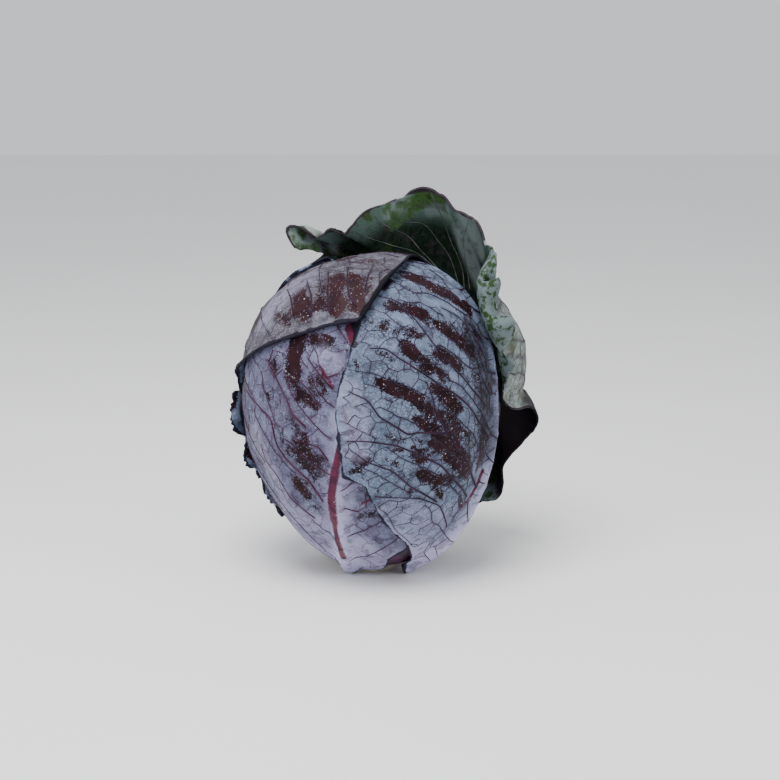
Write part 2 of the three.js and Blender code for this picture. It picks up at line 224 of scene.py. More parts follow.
class Leaf:
    """One leaf's frame, margin and shape. below holds the leaves it rests on."""

    KEYS = ("reach", "curl", "lift", "flap", "open")

    def __init__(self, name, below, centre, thickness, rib, curl_reach, margin=None, edge=None, **more):
        self.name = name
        self.below = below
        self.thickness = thickness
        self.rib = rib
        self.curl_reach = curl_reach
        self.azimuth = centre[0]
        self.ragged = more.get("ragged", 0)
        self.slack = more.get("slack", 0)
        self.bend = more.get("bend")
        self.belly = more.get("belly")
        self.crowding = more.get("crowding", 1.25)
        self.out = direction(*centre)
        east = direction(centre[0] + 90, 0)
        north = np.cross(self.out, east)
        turn = math.radians(more.get("tilt", 0))
        self.up = north * math.cos(turn) + east * math.sin(turn)
        self.side = east * math.cos(turn) - north * math.sin(turn)
        stations = self.stations_in_space(edge) if edge else self.stations_on_head(margin)
        stations = stations[np.argsort(stations[:, 0])]
        full = 2 * math.pi
        before, after = stations[-2:].copy(), stations[:2].copy()
        before[:, 0] -= full
        after[:, 0] += full
        self.stations = np.vstack([before, stations, after])
        self.base = -self.margin_at(np.array([-math.pi / 2]))["reach"][0]
        self.tip = self.margin_at(np.array([math.pi / 2]))["reach"][0]

    def stations_on_head(self, margin):
        """Rows of angle, reach, curl, lift, flap and open, from [azimuth, latitude, curl, lift] points."""
        rows = []
        for point in margin:
            azimuth, latitude, curl, lift = (*point, 0, 0)[:4]
            x, y = self.plane_of(direction(azimuth, latitude))
            rows.append((math.atan2(y, x), math.hypot(x, y), curl, lift, 0, 0))
        return np.array(rows, float)

    def stations_in_space(self, edge):
        """The same from [x, y, z, curl, flap] points in mm, through which the folded edge passes."""
        rows = []
        for point in edge:
            px, py, pz, curl, flap = (*point, 0, 0)[:5]
            place = np.array([px, py, pz - HEAD_CENTRE_HEIGHT], float)
            d = unit(place)
            x, y = self.plane_of(d)
            opening = max(EDGE_REST, np.linalg.norm(place) - float(self.resting_radius(d)))
            reach = math.hypot(x, y) + flap / MM_PER_DEGREE
            rows.append((math.atan2(y, x), reach, curl, 0, flap, opening))
        return np.array(rows, float)

    def plane_of(self, d):
        """The plane coordinates of direction d."""
        arc = degrees_between(d, self.out)
        x, y = d @ self.side, d @ self.up
        length = np.maximum(np.hypot(x, y), 1e-9)
        return arc * x / length, arc * y / length

    def direction_of(self, x, y):
        """The direction of plane coordinates x and y."""
        arc = np.maximum(np.hypot(x, y), 1e-9)
        s = np.sin(np.radians(arc)) / arc
        return (
            np.cos(np.radians(arc))[..., None] * self.out
            + (s * x)[..., None] * self.side
            + (s * y)[..., None] * self.up
        )

    def margin_at(self, angle):
        """The margin's reach, curl, lift, flap and opening, by a cubic through the stations around it."""
        s = self.stations
        i = np.searchsorted(s[:, 0], angle, side="right")
        before, left, right, after = s[i - 2], s[i - 1], s[i], s[i + 1]
        span = (right[..., 0] - left[..., 0])[..., None]
        t = ((angle - left[..., 0])[..., None]) / span
        slope_left = (right - before) / (right[..., :1] - before[..., :1]) * span
        slope_right = (after - left) / (after[..., :1] - left[..., :1]) * span
        values = (
            (2 * t**3 - 3 * t**2 + 1) * left
            + (t**3 - 2 * t**2 + t) * slope_left
            + (3 * t**2 - 2 * t**3) * right
            + (t**3 - t**2) * slope_right
        )
        return {key: values[..., k + 1] for k, key in enumerate(self.KEYS)}

    def rib_height(self, x, y):
        """The midrib's height above the blade, in mm."""
        width, tip_width, height, tip_height = self.rib
        t = np.clip((y - self.base) / (self.tip - self.base), 0, 1)
        across = np.abs(x * MM_PER_DEGREE) / (width + (tip_width - width) * t)
        crest = height * (1 - t) ** 1.4 + tip_height * t * (1 - smooth(0.85, 1, t))
        return np.where(across < 1, crest * (1 - across**2) ** 2, 0)

    def cover_height(self, d):
        """How much of this leaf lies under direction d, fading out beyond its margin."""
        x, y = self.plane_of(d)
        beyond = (np.hypot(x, y) - self.margin_at(np.arctan2(y, x))["reach"]) * MM_PER_DEGREE
        share = 1 - smooth(COVER_MARGIN, COVER_MARGIN + COVER_FALL, beyond)
        return share * (self.thickness + LEAF_GAP + self.rib_height(x, y))

    def resting_radius(self, d):
        """How far from the head's centre the leaf's inner face rests, towards direction d."""
        radius = heart_radius(d) + LEAF_GAP
        for other in self.below:
            radius = radius + other.cover_height(d)
        return radius

    def laid(self, x, y):
        """The leaf's inner face before its rim is curled."""
        d = self.direction_of(x, y)
        radius = self.resting_radius(d) + self.slack
        if self.belly:
            edge = self.margin_at(np.arctan2(y, x))
            fold = edge["reach"] - edge["flap"] / MM_PER_DEGREE
            share = np.minimum(1, np.hypot(x, y) / fold) ** OPENING_POWER
            belly = self.belly(azimuth_of(d), latitude_of(d))
            radius = radius + belly * (1 - share) + edge["open"] * share
        return on_head(d, radius)

    def blade(self, x, y):
        """The inner face, with its rim lifted and curled outwards."""
        arc, angle = np.hypot(x, y), np.arctan2(y, x)
        edge = self.margin_at(angle)
        inside = (edge["reach"] - arc) * MM_PER_DEGREE
        point = self.laid(x, y)
        curled = self.curl_reach + edge["flap"]
        rim = 1 - smooth(0, curled, inside)
        fold = np.clip(np.minimum(arc, edge["reach"] - curled / MM_PER_DEGREE), 0, None)

        def here(reach, turn):
            return self.laid(reach * np.cos(turn), reach * np.sin(turn))

        along = unit(here(fold + STEP_DEGREES, angle) - here(fold - STEP_DEGREES, angle))
        swing = STEP_DEGREES / np.maximum(fold, 1)
        around = unit(here(fold, angle + swing) - here(fold, angle - swing))
        normal = unit(np.cross(along, around))
        s = np.maximum(0, curled - inside)
        bend = np.minimum(self.bend, curled) if self.bend else curled
        turned = np.minimum(s, bend)
        curvature = np.radians(edge["curl"]) / bend
        curvature = np.where(np.abs(curvature) < 1e-5, 1e-5, curvature)
        past = s - turned
        sine, cosine = np.sin(curvature * turned), np.cos(curvature * turned)
        forward = sine / curvature + past * cosine - s
        outward = (1 - cosine) / curvature + past * sine + edge["lift"] * rim
        moved = point + forward[..., None] * along + outward[..., None] * normal
        return np.where((rim > 0)[..., None], moved, point)

    def normal(self, x, y):
        """The blade's outward normal."""
        step = STEP_DEGREES
        right = self.blade(x + step, y) - self.blade(x - step, y)
        up = self.blade(x, y + step) - self.blade(x, y - step)
        return unit(np.cross(right, up))

    def face(self, x, y, raised=0.0):
        """The outer face, raised by so many mm."""
        point = self.blade(x, y)
        height = self.thickness + self.rib_height(x, y) + raised
        place = point + self.normal(x, y) * height[..., None]
        place[..., 2] = np.maximum(place[..., 2], BASE_CUT_HEIGHT)
        return place

    def plane_point(self, u, v):
        """A square grid laid onto the leaf: rings follow the margin and the middle column is the midrib."""
        r = np.maximum(np.abs(u), np.abs(v))
        sideways = np.abs(u) >= np.abs(v)
        safe_u = np.where(np.abs(u) < 1e-9, 1e-9, u)
        safe_v = np.where(np.abs(v) < 1e-9, 1e-9, v)
        across = math.pi / 4 * (v / safe_u) + np.where(u < 0, math.pi, 0)
        upright = math.pi / 2 - math.pi / 4 * (u / safe_v) + np.where(v < 0, math.pi, 0)
        angle = np.where(sideways, across, upright)
        angle = np.arctan2(np.sin(angle), np.cos(angle))
        phase = self.azimuth
        torn = 0.6 * np.sin(17 * angle + phase) + 0.5 * np.sin(29 * angle + 2 * phase)
        torn = torn + 0.4 * np.sin(41 * angle) + 0.35 * np.sin(97 * angle + phase) * np.sin(13 * angle)
        reach = self.margin_at(angle)["reach"] + self.ragged * torn * smooth(0.7, 1, r)
        arc = reach * (1 - (1 - r) ** self.crowding)
        return arc * np.cos(angle), arc * np.sin(angle)


# The leaves from the innermost outwards.
LEAVES = {}


def grow(name, **facts):
    """Adds a leaf that rests on all those before it."""
    LEAVES[name] = Leaf(name, list(LEAVES.values()), **facts)


grow(
    "leaf_front_left",
    centre=(-12, 0),
    tilt=5,
    thickness=1.2,
    rib=(9.5, 3, 4.6, 1.0),
    curl_reach=8,
    margin=[
        (12, -78), (18, -72), (16.5, -65.5), (26, -58.5), (38, -42), (42, -18), (40, 8), (32, 32),
        (12, 54), (-15, 62), (-45, 60), (-75, 48), (-98, 25), (-106, 0), (-104, -25), (-96, -45),
        (-78, -62), (-54, -73), (-28, -78.5), (-6, -79.5),
    ],
)
grow(
    "leaf_front_right",
    centre=(72, 0),
    tilt=7,
    thickness=1.2,
    rib=(10, 3, 5, 1.0),
    curl_reach=7,
    ragged=0.5,
    margin=[
        (62, -77), (42, -73), (34, -64, 10), (23, -53), (11, -44), (4.5, -36), (-0.5, -27, 15),
        (-3, -21.5, 25), (-11, -16.5, 35, 0.4), (-12.3, -8, 30, 0.5), (-13, 2, 15, 0.3),
        (-14.5, 12, 20, 0.5), (-12.5, 21, 15, 0.3), (-10, 29, 25, 0.5), (-8, 37), (-8, 45), (-12, 56),
        (-12, 67), (-4, 77), (40, 84), (112, 82), (144, 70), (152, 56), (152, 34), (151, 5), (142, -30),
        (122, -58), (90, -74),
    ],
)
grow(
    "leaf_top_left",
    centre=(-142, 32),
    thickness=1.3,
    rib=(10, 2.5, 5, 0.5),
    curl_reach=7,
    ragged=0.35,
    margin=[
        (-136, -74), (-122, -60), (-114, -40), (-109, -20), (-102, -2), (-95, 8, 45, 0.5),
        (-87, 16, 70, 1), (-77, 21.5, 40, 0.8), (-64, 27.5, 30, 0.6), (-54, 32, 20, 0.6),
        (-44, 35.5, 15, 0.6), (-36, 38, 15, 0.6), (-28, 40.3, 15, 0.6), (-20, 42, 15, 0.6),
        (-12, 43.2, 15, 0.7), (-5, 43.5, 20, 0.9), (0, 48, 35, 1.2), (7, 54, 50, 1.6), (18, 61.5, 60, 2),
        (38, 69, 50, 2), (75, 74, 20, 1.5), (112, 68), (132, 50), (142, 25), (148, -5), (156, -35),
        (170, -60), (-172, -73), (-153, -75.5),
    ],
)
grow(
    "leaf_back_left",
    centre=(-132, -16),
    thickness=1.4,
    rib=(9, 4, 4.5, 1.2),
    curl_reach=8,
    ragged=1.4,
    slack=1.3,
    margin=[
        (-120, -68), (-107, -60), (-98, -52, 30, 0.5), (-92, -42, 50, 1), (-97, -34, 10, 0.3),
        (-90, -25, 55, 1), (-97, -15, 10, 0.3), (-89, -4, 70, 2), (-99, 5, 20, 0.5), (-110, 18),
        (-114, 33), (-112, 46), (-114, 56, 10, 0.2), (-128, 65, 10, 0.2), (-150, 64), (-166, 54),
        (-174, 36), (-176, 5), (-174, -24), (-168, -44), (-158, -57), (-148, -66), (-134, -70),
    ],
)
grow(
    "leaf_wrapper",
    centre=(140, 8),
    thickness=1.4,
    rib=(11, 3, 5, 1.2),
    curl_reach=3,
    bend=11,
    crowding=1.4,
    ragged=0.4,
    belly=wrapper_belly,
    edge=[
        (20, 22, 5), (40, 32, 12), (56, 32, 24), (66, 30, 33, 20, 2), (76, 26, 38, 60, 4),
        (79, 24, 46, 30, 2), (80, 25, 54), (86, 30, 61), (94, 35, 69), (100, 36, 76), (102, 33, 83),
        (99, 27, 90), (95, 22, 93), (89, 15, 93), (84, 10, 95), (78, 2, 102), (75, -4, 110),
        (75, -9, 119, 70, 4), (71, -16, 129, 140, 10), (67, -21, 141, 165, 14), (63, -22, 154, 170, 16),
        (61, -18, 168, 170, 17), (62, -11, 180, 160, 16), (67, -3, 187, 110, 11), (70, 10, 190, 50, 5),
        (68, 21, 193, 10), (66, 28, 200), (62, 37, 206), (55, 45, 209), (49, 50, 212), (46, 54, 216),
        (42, 56, 219), (33, 60, 222), (21, 61, 219), (8, 57, 214), (-4, 51, 209), (-13, 48, 200),
        (-18, 48, 195), (-23, 46, 199), (-30, 47, 195), (-36, 46, 194), (-42, 46, 199), (-51, 44, 200),
        (-49, 44, 192), (-44, 47, 186), (-29, 66, 186), (-38, 65, 172), (-46, 62, 155), (-52, 60, 125),
        (-48, 62, 94), (-38, 62, 66), (-26, 56, 38), (-14, 42, 14), (-4, 30, 6), (10, 25, 5),
    ],
)


# Where the wax is rubbed off, in bands, and a few bands of painted shade laid the same way: azimuth and
# latitude of both ends, half width in degrees, strength.
RUBBED_AND_SHADED = {
    "leaf_front_right": [
        (36, 66, 48, 58.5, 4, 1.1), (48, 58.5, 66, 47, 3.6, 1.1), (25, 59, 31, 56, 2.4, 0.8),
        (11, 51, 29, 47, 2.7, 1), (37, 42, 54, 31, 3.1, 1), (31, 33, 42, 27, 3.3, 0.9),
        (16, 36, 25, 27, 3.1, 1), (4, 44, 23, 40, 3.3, 0.65), (28, 27, 34, 22, 2.2, 0.85),
        (7, 22, 19, 16, 3.8, 1), (19, 16, 25, 10, 3.2, 1), (29, 19, 40, 9, 3.3, 1.1),
        (30, 8, 38, 2, 3.3, 0.8), (20, 7, 31, -2, 3.1, 1), (30, -3, 49, -19, 5.1, 1),
        (22, -16, 38, -22, 3.4, 1), (19, -5, 22, -10, 2.7, 0.9), (19, -1, 26, -3, 1.5, 0.9),
        (8, 1, 13, -1, 2.1, 0.8), (8, -5, 13, -5, 1.5, 0.8), (6, -9, 12, -12, 1.7, 0.8),
        (-6, -8, -2, -10, 2.9, 1), (-8, -15, -4, -13, 2.1, 0.9), (38, 0, 50, -7, 4.3, 0.6),
        (48, 20, 61, 19, 2.9, 0.5), (15, -24, 22, -24, 1.5, 0.8), (4, -24, 9, -26, 1.5, 0.8),
        # The bands near azimuth 57 to 60 darken this leaf's right edge: partly rubbed wax, partly painted
        # shade where the outer leaf shades it.
        (30, -24, 35, -28, 2.1, 0.9), (47, -31, 53, -37, 1.4, 0.9), (57, 24, 59, -14, 1.5, 0.8),
        (58, -2, 59, -16, 2.2, 1.1), (57, 36, 60, -10, 8, 0.52), (4, 34, 10, 31, 1.9, 0.6),
        (-8, 31, -3, 26, 0.9, 0.9), (-11, 13, -10, 7, 1.0, 0.8), (-13, 2, -7, 3, 1.2, 0.9),
        (-6, 37, -9, 34, 1.0, 1),
    ],
    "leaf_front_left": [
        (-37, 38, -36, 22, 4.3, 1.1), (-32, 38, -20, 38, 2.4, 0.9), (-23, 25, -23, 19, 4.7, 0.6),
        (-32, 16, -23, 13, 2.9, 1), (-32, -6, -24, -15, 6.2, 0.85), (-37, -22, -32, -29, 3.1, 1),
        (-51, 29, -47, 25, 2.4, 0.8), (-55, 17, -49, 13, 2.1, 0.8), (-36, 6, -29, -2, 2.6, 0.9),
        (-53, -10, -53, -21, 1.2, 0.8), (-43, -41, -33, -41, 1.7, 0.8), (-42, 0, -39, -10, 1.9, 0.6),
        (-8, -41, 0, -37, 2.2, 0.6), (-31, -36, -26, -35, 1.5, 0.6), (-67, 17, -64, 14, 1.2, 0.5),
        (-66, 6, -60, -20, 3, 0.38), (-60, -8, -52, -30, 2.2, 0.42),
    ],
    "leaf_top_left": [
        (-44, 46, -5, 49, 3.6, 0.95), (-24, 61, -17, 49, 4.4, 1), (-11, 62, -6, 50, 4.2, 1),
        (-49, 55, -37, 47, 4.2, 0.95), (-57, 44, -46, 43, 3.4, 0.9), (-33, 57, -29, 50, 2.4, 0.8),
        (-25, 75, 8, 77, 2.6, 0.6), (-1, 62, 0, 54, 2.2, 0.9), (-72, 55, -55, 60, 4, 0.6),
    ],
}

# Bands of stronger magenta, in the same terms.
BLUSHED = {
    "leaf_front_right": [
        (64, -23, 60, -34, 1.2, 1), (60, -34, 50, -42, 1.0, 0.8), (58, -14, 58, -22, 1.2, 0.7),
    ],
    "leaf_front_left": [
        (-12, -4, -15, -15, 1.9, 1), (-15, -15, -18, -27, 2.3, 1), (-18, -27, -19, -40, 2.4, 1),
        (-19, -40, -20, -61, 1.5, 1), (-10, 43, -7, 38, 2.2, 1), (-21, 27, -16, 21, 0.9, 0.8),
        (-5, -32, 0, -29, 0.5, 1),
    ],
}

# Bands of painted shadow, under raised rims, in pockets, in the outer leaf's torn notch and along the right
# front leaf's right edge beside the outer leaf; and bands of pale wax, partly painted light, in the same
# terms.
PAINTED_SHADOWS = {
    "leaf_wrapper": [(95, -32, 112, -12, 14, 1), (80, -40, 100, -30, 12, 1)],
    "leaf_top_left": [(-3, 46, 3, 51, 1.6, 0.7), (3, 51, 10, 58, 2.0, 0.8), (10, 58, 30, 67, 2.4, 0.8)],
    "leaf_front_right": [
        (8, 59, 14, 63.5, 2.4, 0.85), (-5, 47, -9, 55, 2.5, 0.8), (-6, 46, -9, 36, 1.5, 0.8),
        (61, 36, 63, -12, 10, 0.55),
    ],
}
PALE_WAX_AND_LIGHT = {
    "leaf_wrapper": [
        (107, -28, 109, -17, 3, 1), (107, -28, 109, -7, 2, 1), (169, 62, 163, 61.8, 2.2, 0.5),
        (150.5, 56.7, 139.2, 56, 1.8, 0.3), (134.9, 51.4, 128, 40, 3.6, 0.5),
        # The band from azimuth 230 to 216 lies on the outer leaf's lit ruffle: pale wax made paler as
        # painted light.
        (126.2, 57, 122, 50, 4.5, 0.6), (207, 56.5, 200, 54.5, 2.2, 0.9), (230, 58, 216, 54, 4, 0.85),
    ],
    "leaf_front_left": [
        (-22, 33, -16, 30, 4, 0.2), (-50, -30, -62, -5, 6, 0.3), (-6, -55, 2, -62, 6, 0.5),
        (-52, -42, -26, -48, 9, 0.35), (-12, 8, -9, -14, 5, 0.3),
    ],
    "leaf_front_right": [(-10, 20, -6, -6, 6, 0.25), (40, -42, 10, -34, 8, 0.2)],
    "leaf_top_left": [(-68, 42, -60, 62, 7, 0.25)],
}

# Bands that are leaf green, in the same terms.
GREENED = {
    "leaf_wrapper": [
        (155.5, 59.4, 143.5, 60, 2.2, 0.8), (166, 59.4, 157, 58.8, 2.5, 0.85),
        (171, 62.3, 168.7, 60.6, 1.5, 0.8), (183.7, 64.8, 180.5, 63.4, 1.5, 0.6),
        (142.4, 55.5, 137.6, 55.5, 1.6, 0.5), (227, 57, 214, 54, 3.4, 0.72),
    ],
}

# Bands that stand a little proud as folds and lumps, in the same terms.
FOLDED = {
    "leaf_front_left": [
        (-9, -34, 2, -53, 1.8, 0.8), (-13, -43, -3, -62, 1.8, 0.7), (-2, -28, 12, -52, 1.8, 0.7),
        (-22, 30, -14, 24, 4, 0.5), (-46, 30, -32, 4, 1.6, 0.6), (-34, 2, -22, -30, 1.5, 0.5),
    ],
    "leaf_front_right": [
        (-9, 26, -7, 20, 2.4, 0.9), (-10, 14, -9, 6, 2.4, 1), (-9, -1, -8, -8, 2.2, 0.8),
        (-2, 17, 6, 12, 2, 0.5), (-3, 4, 5, 0, 2, 0.5),
    ],
    "leaf_top_left": [
        (-40, 44, -36, 58, 1.2, 0.6), (-29, 45, -26, 60, 1.2, 0.6), (-18, 46, -14, 60, 1.2, 0.6),
    ],
}

# The main veins that the photograph shows: half width at the thick end in mm, then azimuths and latitudes.
SHOWN_VEINS = {
    "leaf_front_right": [
        (0.95, [(62, -30), (55, -24), (40, -8), (33, 1), (28, 9), (26, 18), (24, 22)]),
        (0.90, [(55, -33), (38, -20), (32, -14), (19, -7), (11, -3), (-1, -1), (-10, -1)]),
        (0.90, [(64, -8), (47, 9), (38, 16), (32, 19), (20, 27), (13, 31), (7, 35), (0, 35)]),
        (0.70, [(61, 7), (48, 18), (39, 25), (33, 32), (29, 37), (24, 44), (15, 53), (5, 55)]),
        (0.80, [(34, 0), (19, 2), (16, 1), (4, 9), (-1, 16), (-9, 19)]),
        (0.70, [(33, -31), (18, -22), (9, -14), (-1, -10), (-9, -4)]),
        (0.60, [(66, 25), (60, 34), (56, 41), (52, 45), (43, 49)]),
        (0.60, [(47, -46), (35, -33), (23, -28), (12, -27), (2, -26)]),
    ],
    "leaf_front_left": [
        (0.85, [(-23, -31), (-29, -21), (-37, -15), (-40, -12), (-44, -7), (-47, 4), (-59, 9), (-72, 12)]),
        (0.85, [(-28, 3), (-35, 8), (-37, 12), (-41, 17), (-46, 22), (-54, 28)]),
        (0.60, [(-21, 12), (-26, 18), (-32, 22)]),
        (0.70, [(-16, 20), (-22, 25), (-29, 31)]),
        (0.60, [(-31, -41), (-43, -33), (-48, -22), (-55, -16), (-56, -11)]),
        (0.60, [(-18, -11), (-22, -5), (-28, -4), (-35, -2)]),
    ],
    "leaf_top_left": [
        (0.70, [(-43, 46), (-53, 52), (-65, 55)]),
        (0.70, [(-31, 46), (-37, 54), (-53, 61)]),
        (0.70, [(-21, 48), (-30, 61), (-38, 66)]),
        (0.75, [(-6, 49), (-12, 54), (-21, 69)]),
        (0.60, [(-3, 55), (0, 65), (4, 72)]),
    ],
}

# The pale veins on the outer leaf's inner face, in the same terms.
INNER_VEINS = {
    "leaf_wrapper": [
        (0.75, [(138, 10), (137, 30), (136.8, 42.5), (138, 44), (142, 47.5), (143.6, 51.5),
            (145.5, 55.4), (149, 61)]),
        (0.50, [(139, 34), (143.3, 44), (149.1, 49.3), (151.9, 52.7), (154.7, 54.5), (160, 56.1),
            (168, 59.2)]),
        (0.55, [(143, 34), (156.1, 48.9), (160.5, 53.5), (165.1, 56.5), (172, 60.1), (178.7, 63.7)]),
        (0.50, [(146, 38), (159.3, 50.1), (167.1, 54.2), (174.5, 57.7), (184.5, 60.9), (192, 62.9)]),
        (0.45, [(160, 44), (179.5, 52), (189, 52.1), (197.1, 52.3)]),
        (0.50, [(175, 40), (193.6, 47.8), (204.4, 53.5), (212.8, 54.5)]),
        (0.45, [(134, 36), (134.6, 46.4), (134.3, 49.9), (130.2, 53.3), (124.7, 56.4)]),
    ],
}

# How each leaf's veins run: row spacing, cell length and rise, in degrees, and their half widths in mm.
VEINS = {
    "leaf_front_left": {"rows": 7, "cells": 7, "rise": 1.05, "main": 0.34, "cross": 0.17, "seed": 3},
    "leaf_front_right": {"rows": 6, "cells": 5.2, "rise": 0.8, "main": 0.42, "cross": 0.32, "seed": 8},
    "leaf_top_left": {"rows": 7.5, "cells": 6, "rise": 0.5, "main": 0.3, "cross": 0.18, "seed": 5},
    "leaf_back_left": {"rows": 8, "cells": 7, "rise": 0.9, "main": 0.6, "cross": 0.22, "seed": 11},
    "leaf_wrapper": {"rows": 6.5, "cells": 6, "rise": 0.8, "main": 0.7, "cross": 0.3, "seed": 21},
}


class VeinNet:
    """A leaf's net of veins in its plane. Its cells lie in rows that rise from the midrib."""

    def __init__(self, leaf, rows, cells, rise, main, cross, seed):
        self.leaf = leaf
        self.rise = rise
        self.random = np.random.default_rng(seed)
        seeds, row_of = self.scatter(rows, cells)
        corners, _, faces, origins, _, _ = delaunay_2d_cdt([Vector(p) for p in seeds], [], [], 0, 1e-6)
        self.seeds = np.array([c[:] for c in corners])
        row = [row_of[o[0]] if o else (0, 0) for o in origins]
        self.nodes = np.array([self.seeds[list(f)].mean(0) for f in faces])
        self.links = self.link(faces, row)
        self.even_out()
        x, y = self.nodes.T
        self.reach = leaf.margin_at(np.arctan2(y, x))["reach"]
        self.inside = np.hypot(x, y) < self.reach - NET_EDGE
        self.sizes = self.taper(main, cross)
        self.cells = tree_of(self.seeds)

    def scatter(self, rows, cells):
        """Cell centres inside the margin and a little beyond it, and the row each one lies in."""
        random = self.random
        seeds, row_of = [], []
        for side in (-1, 1):
            for k in NET_ROWS:
                for p in np.arange(cells * random.uniform(0.5, 1.1), NET_REACH, cells):
                    wide = max(2, p + random.normal(0, 0.3) * cells)
                    x = side * wide
                    stray = random.normal(0, 0.2) * rows
                    climb = (self.rise + ROW_BEND * k * rows) * wide
                    y = k * rows + climb + 1.5 * math.sin(wide / 9 + k) + stray
                    reach = self.leaf.margin_at(np.array([math.atan2(y, x)]))["reach"][0]
                    if math.hypot(x, y) < reach + 2.5 * rows:
                        seeds.append((x, y))
                        row_of.append((side, k))
        return seeds, row_of

    def link(self, faces, row):
        """Veins between neighbouring triangles, each marked main where it parts two pairs of rows."""
        across = {}
        for i, face in enumerate(faces):
            for a, b in zip(face, [*face[1:], face[0]]):
                across.setdefault((min(a, b), max(a, b)), []).append(i)
        links = []
        for (a, b), pair in across.items():
            (side_a, row_a), (side_b, row_b) = row[a], row[b]
            if len(pair) == 2 and side_a == side_b:
                links.append((*pair, abs(row_a - row_b) == 1 and min(row_a, row_b) % 2 == 0))
        return links

    def even_out(self):
        """Draws the zigzag of each main vein towards a smooth line."""
        mates = [[] for _ in self.nodes]
        for a, b, main in self.links:
            if main:
                mates[a].append(b)
                mates[b].append(a)
        for _ in range(3):
            moved = self.nodes.copy()
            for i, near in enumerate(mates):
                if len(near) == 2:
                    moved[i] = 0.5 * self.nodes[i] + 0.5 * self.nodes[near].mean(0)
            self.nodes = moved

    def taper(self, main, cross):
        """Half widths at the two ends of each vein, in mm: thick by the midrib and thin by the margin."""
        x, y = self.nodes.T
        share = np.clip(np.hypot(x, y) / self.reach, 0, 1)
        azimuth = azimuth_of(self.leaf.direction_of(x, y))
        main = np.maximum(main, UNSEEN_MAIN_VEIN * smooth(60, 75, np.abs(azimuth)))
        strong = main * (1 - 0.45 * np.clip(np.abs(x) / 60, 0, 1)) * (1 - 0.3 * share**3)
        weak = cross * (1 - 0.25 * share) * self.random.uniform(0.45, 1.35, len(x))
        return [(strong[a], strong[b]) if m else (weak[a], weak[b]) for a, b, m in self.links]

    def lines(self):
        """Points along every vein: plane x and y, half width, and whether it is a main vein."""
        made = [self.shown_line(*vein) for vein in SHOWN_VEINS.get(self.leaf.name, [])]
        drawn = tree_of(np.vstack([line[:, :2] for line in made] or [(FAR_AWAY, FAR_AWAY)]))
        for (a, b, main), (first, last) in zip(self.links, self.sizes):
            absent = not main and self.random.random() < MISSING_VEINS
            if absent or not (self.inside[a] and self.inside[b]):
                continue
            middle = (self.nodes[a] + self.nodes[b]) / 2
            if main and drawn.find((*middle, 0))[2] < CLEAR_OF_SHOWN:
                continue
            start, end = self.nodes[a], self.nodes[b]
            length = np.linalg.norm(end - start) * MM_PER_DEGREE
            count = max(3, int(length / 2) + 1)
            t = np.linspace(0, 1, count)[:, None]
            swerve = np.array([start[1] - end[1], end[0] - start[0]]) * self.random.normal(0, 0.06)
            path = start + (end - start) * t + swerve * np.sin(math.pi * t)
            size = first + (last - first) * t
            made.append(np.hstack([path, size, np.full_like(size, main)]))
        return made

    def shown_line(self, size, course):
        """One listed vein as a smooth line that tapers to its far end."""
        azimuth, latitude = np.array(course, float).T
        x, y = self.leaf.plane_of(direction(azimuth, latitude))
        run = np.concatenate([[0], np.cumsum(np.hypot(np.diff(x), np.diff(y)))])
        at = np.linspace(0, run[-1], max(6, int(run[-1] * 1.2)))
        path = np.stack([np.interp(at, run, x), np.interp(at, run, y)], 1)
        for _ in range(4):
            path[1:-1] = (path[:-2] + 2 * path[1:-1] + path[2:]) / 4
        width = size * (1 - 0.6 * at / run[-1])
        return np.hstack([path, width[:, None], np.ones((len(at), 1))])

    def cell_centres(self, x, y):
        """The middle of the cell that each point lies in."""
        nearest = [self.cells.find((a, b, 0))[1] for a, b in zip(x, y)]
        return self.seeds[nearest].T


def tree_of(points):
    tree = KDTree(len(points))
    for i, (x, y) in enumerate(points):
        tree.insert((x, y, 0), i)
    tree.balance()
    return tree


def distances(tree, x, y):
    """Distance in mm from each plane point to the nearest point of the tree."""
    return np.array([tree.find((a, b, 0))[2] for a, b in zip(x, y)]) * MM_PER_DEGREE


def marks(leaf, table, x, y):
    """How strongly the leaf's listed bands cover each plane point."""
    cover = np.zeros_like(x)
    for az_a, lat_a, az_b, lat_b, half, strength in table.get(leaf.name, []):
        start = np.array(leaf.plane_of(direction(az_a, lat_a)))
        run = np.array(leaf.plane_of(direction(az_b, lat_b))) - start
        t = np.clip(((x - start[0]) * run[0] + (y - start[1]) * run[1]) / (run @ run), 0, 1)
        away = np.hypot(x - start[0] - t * run[0], y - start[1] - t * run[1])
        cover = np.maximum(cover, strength * (1 - smooth(BAND_FULL * half, BAND_GONE * half, away)))
    return cover


def wandering(x, y, scale, seed):
    """A gentle random field of about -1 to 1 over a leaf's plane, made of a few crossed waves."""
    random = np.random.default_rng(seed)
    total = np.zeros_like(x)
    for _ in range(WAVES_IN_FIELD):
        angle, phase = random.uniform(0, 2 * math.pi, 2)
        length = scale * random.uniform(0.6, 1.6)
        total += np.sin(2 * math.pi * (x * math.cos(angle) + y * math.sin(angle)) / length + phase)
    return total / WAVE_SUM


def mesh_of(bm, name, shade_smooth=True):
    """Turns a finished bmesh into a mesh."""
    for face in bm.faces:
        face.smooth = shade_smooth
    mesh = bpy.data.meshes.new(name)
    bm.to_mesh(mesh)
    bm.free()
    return mesh


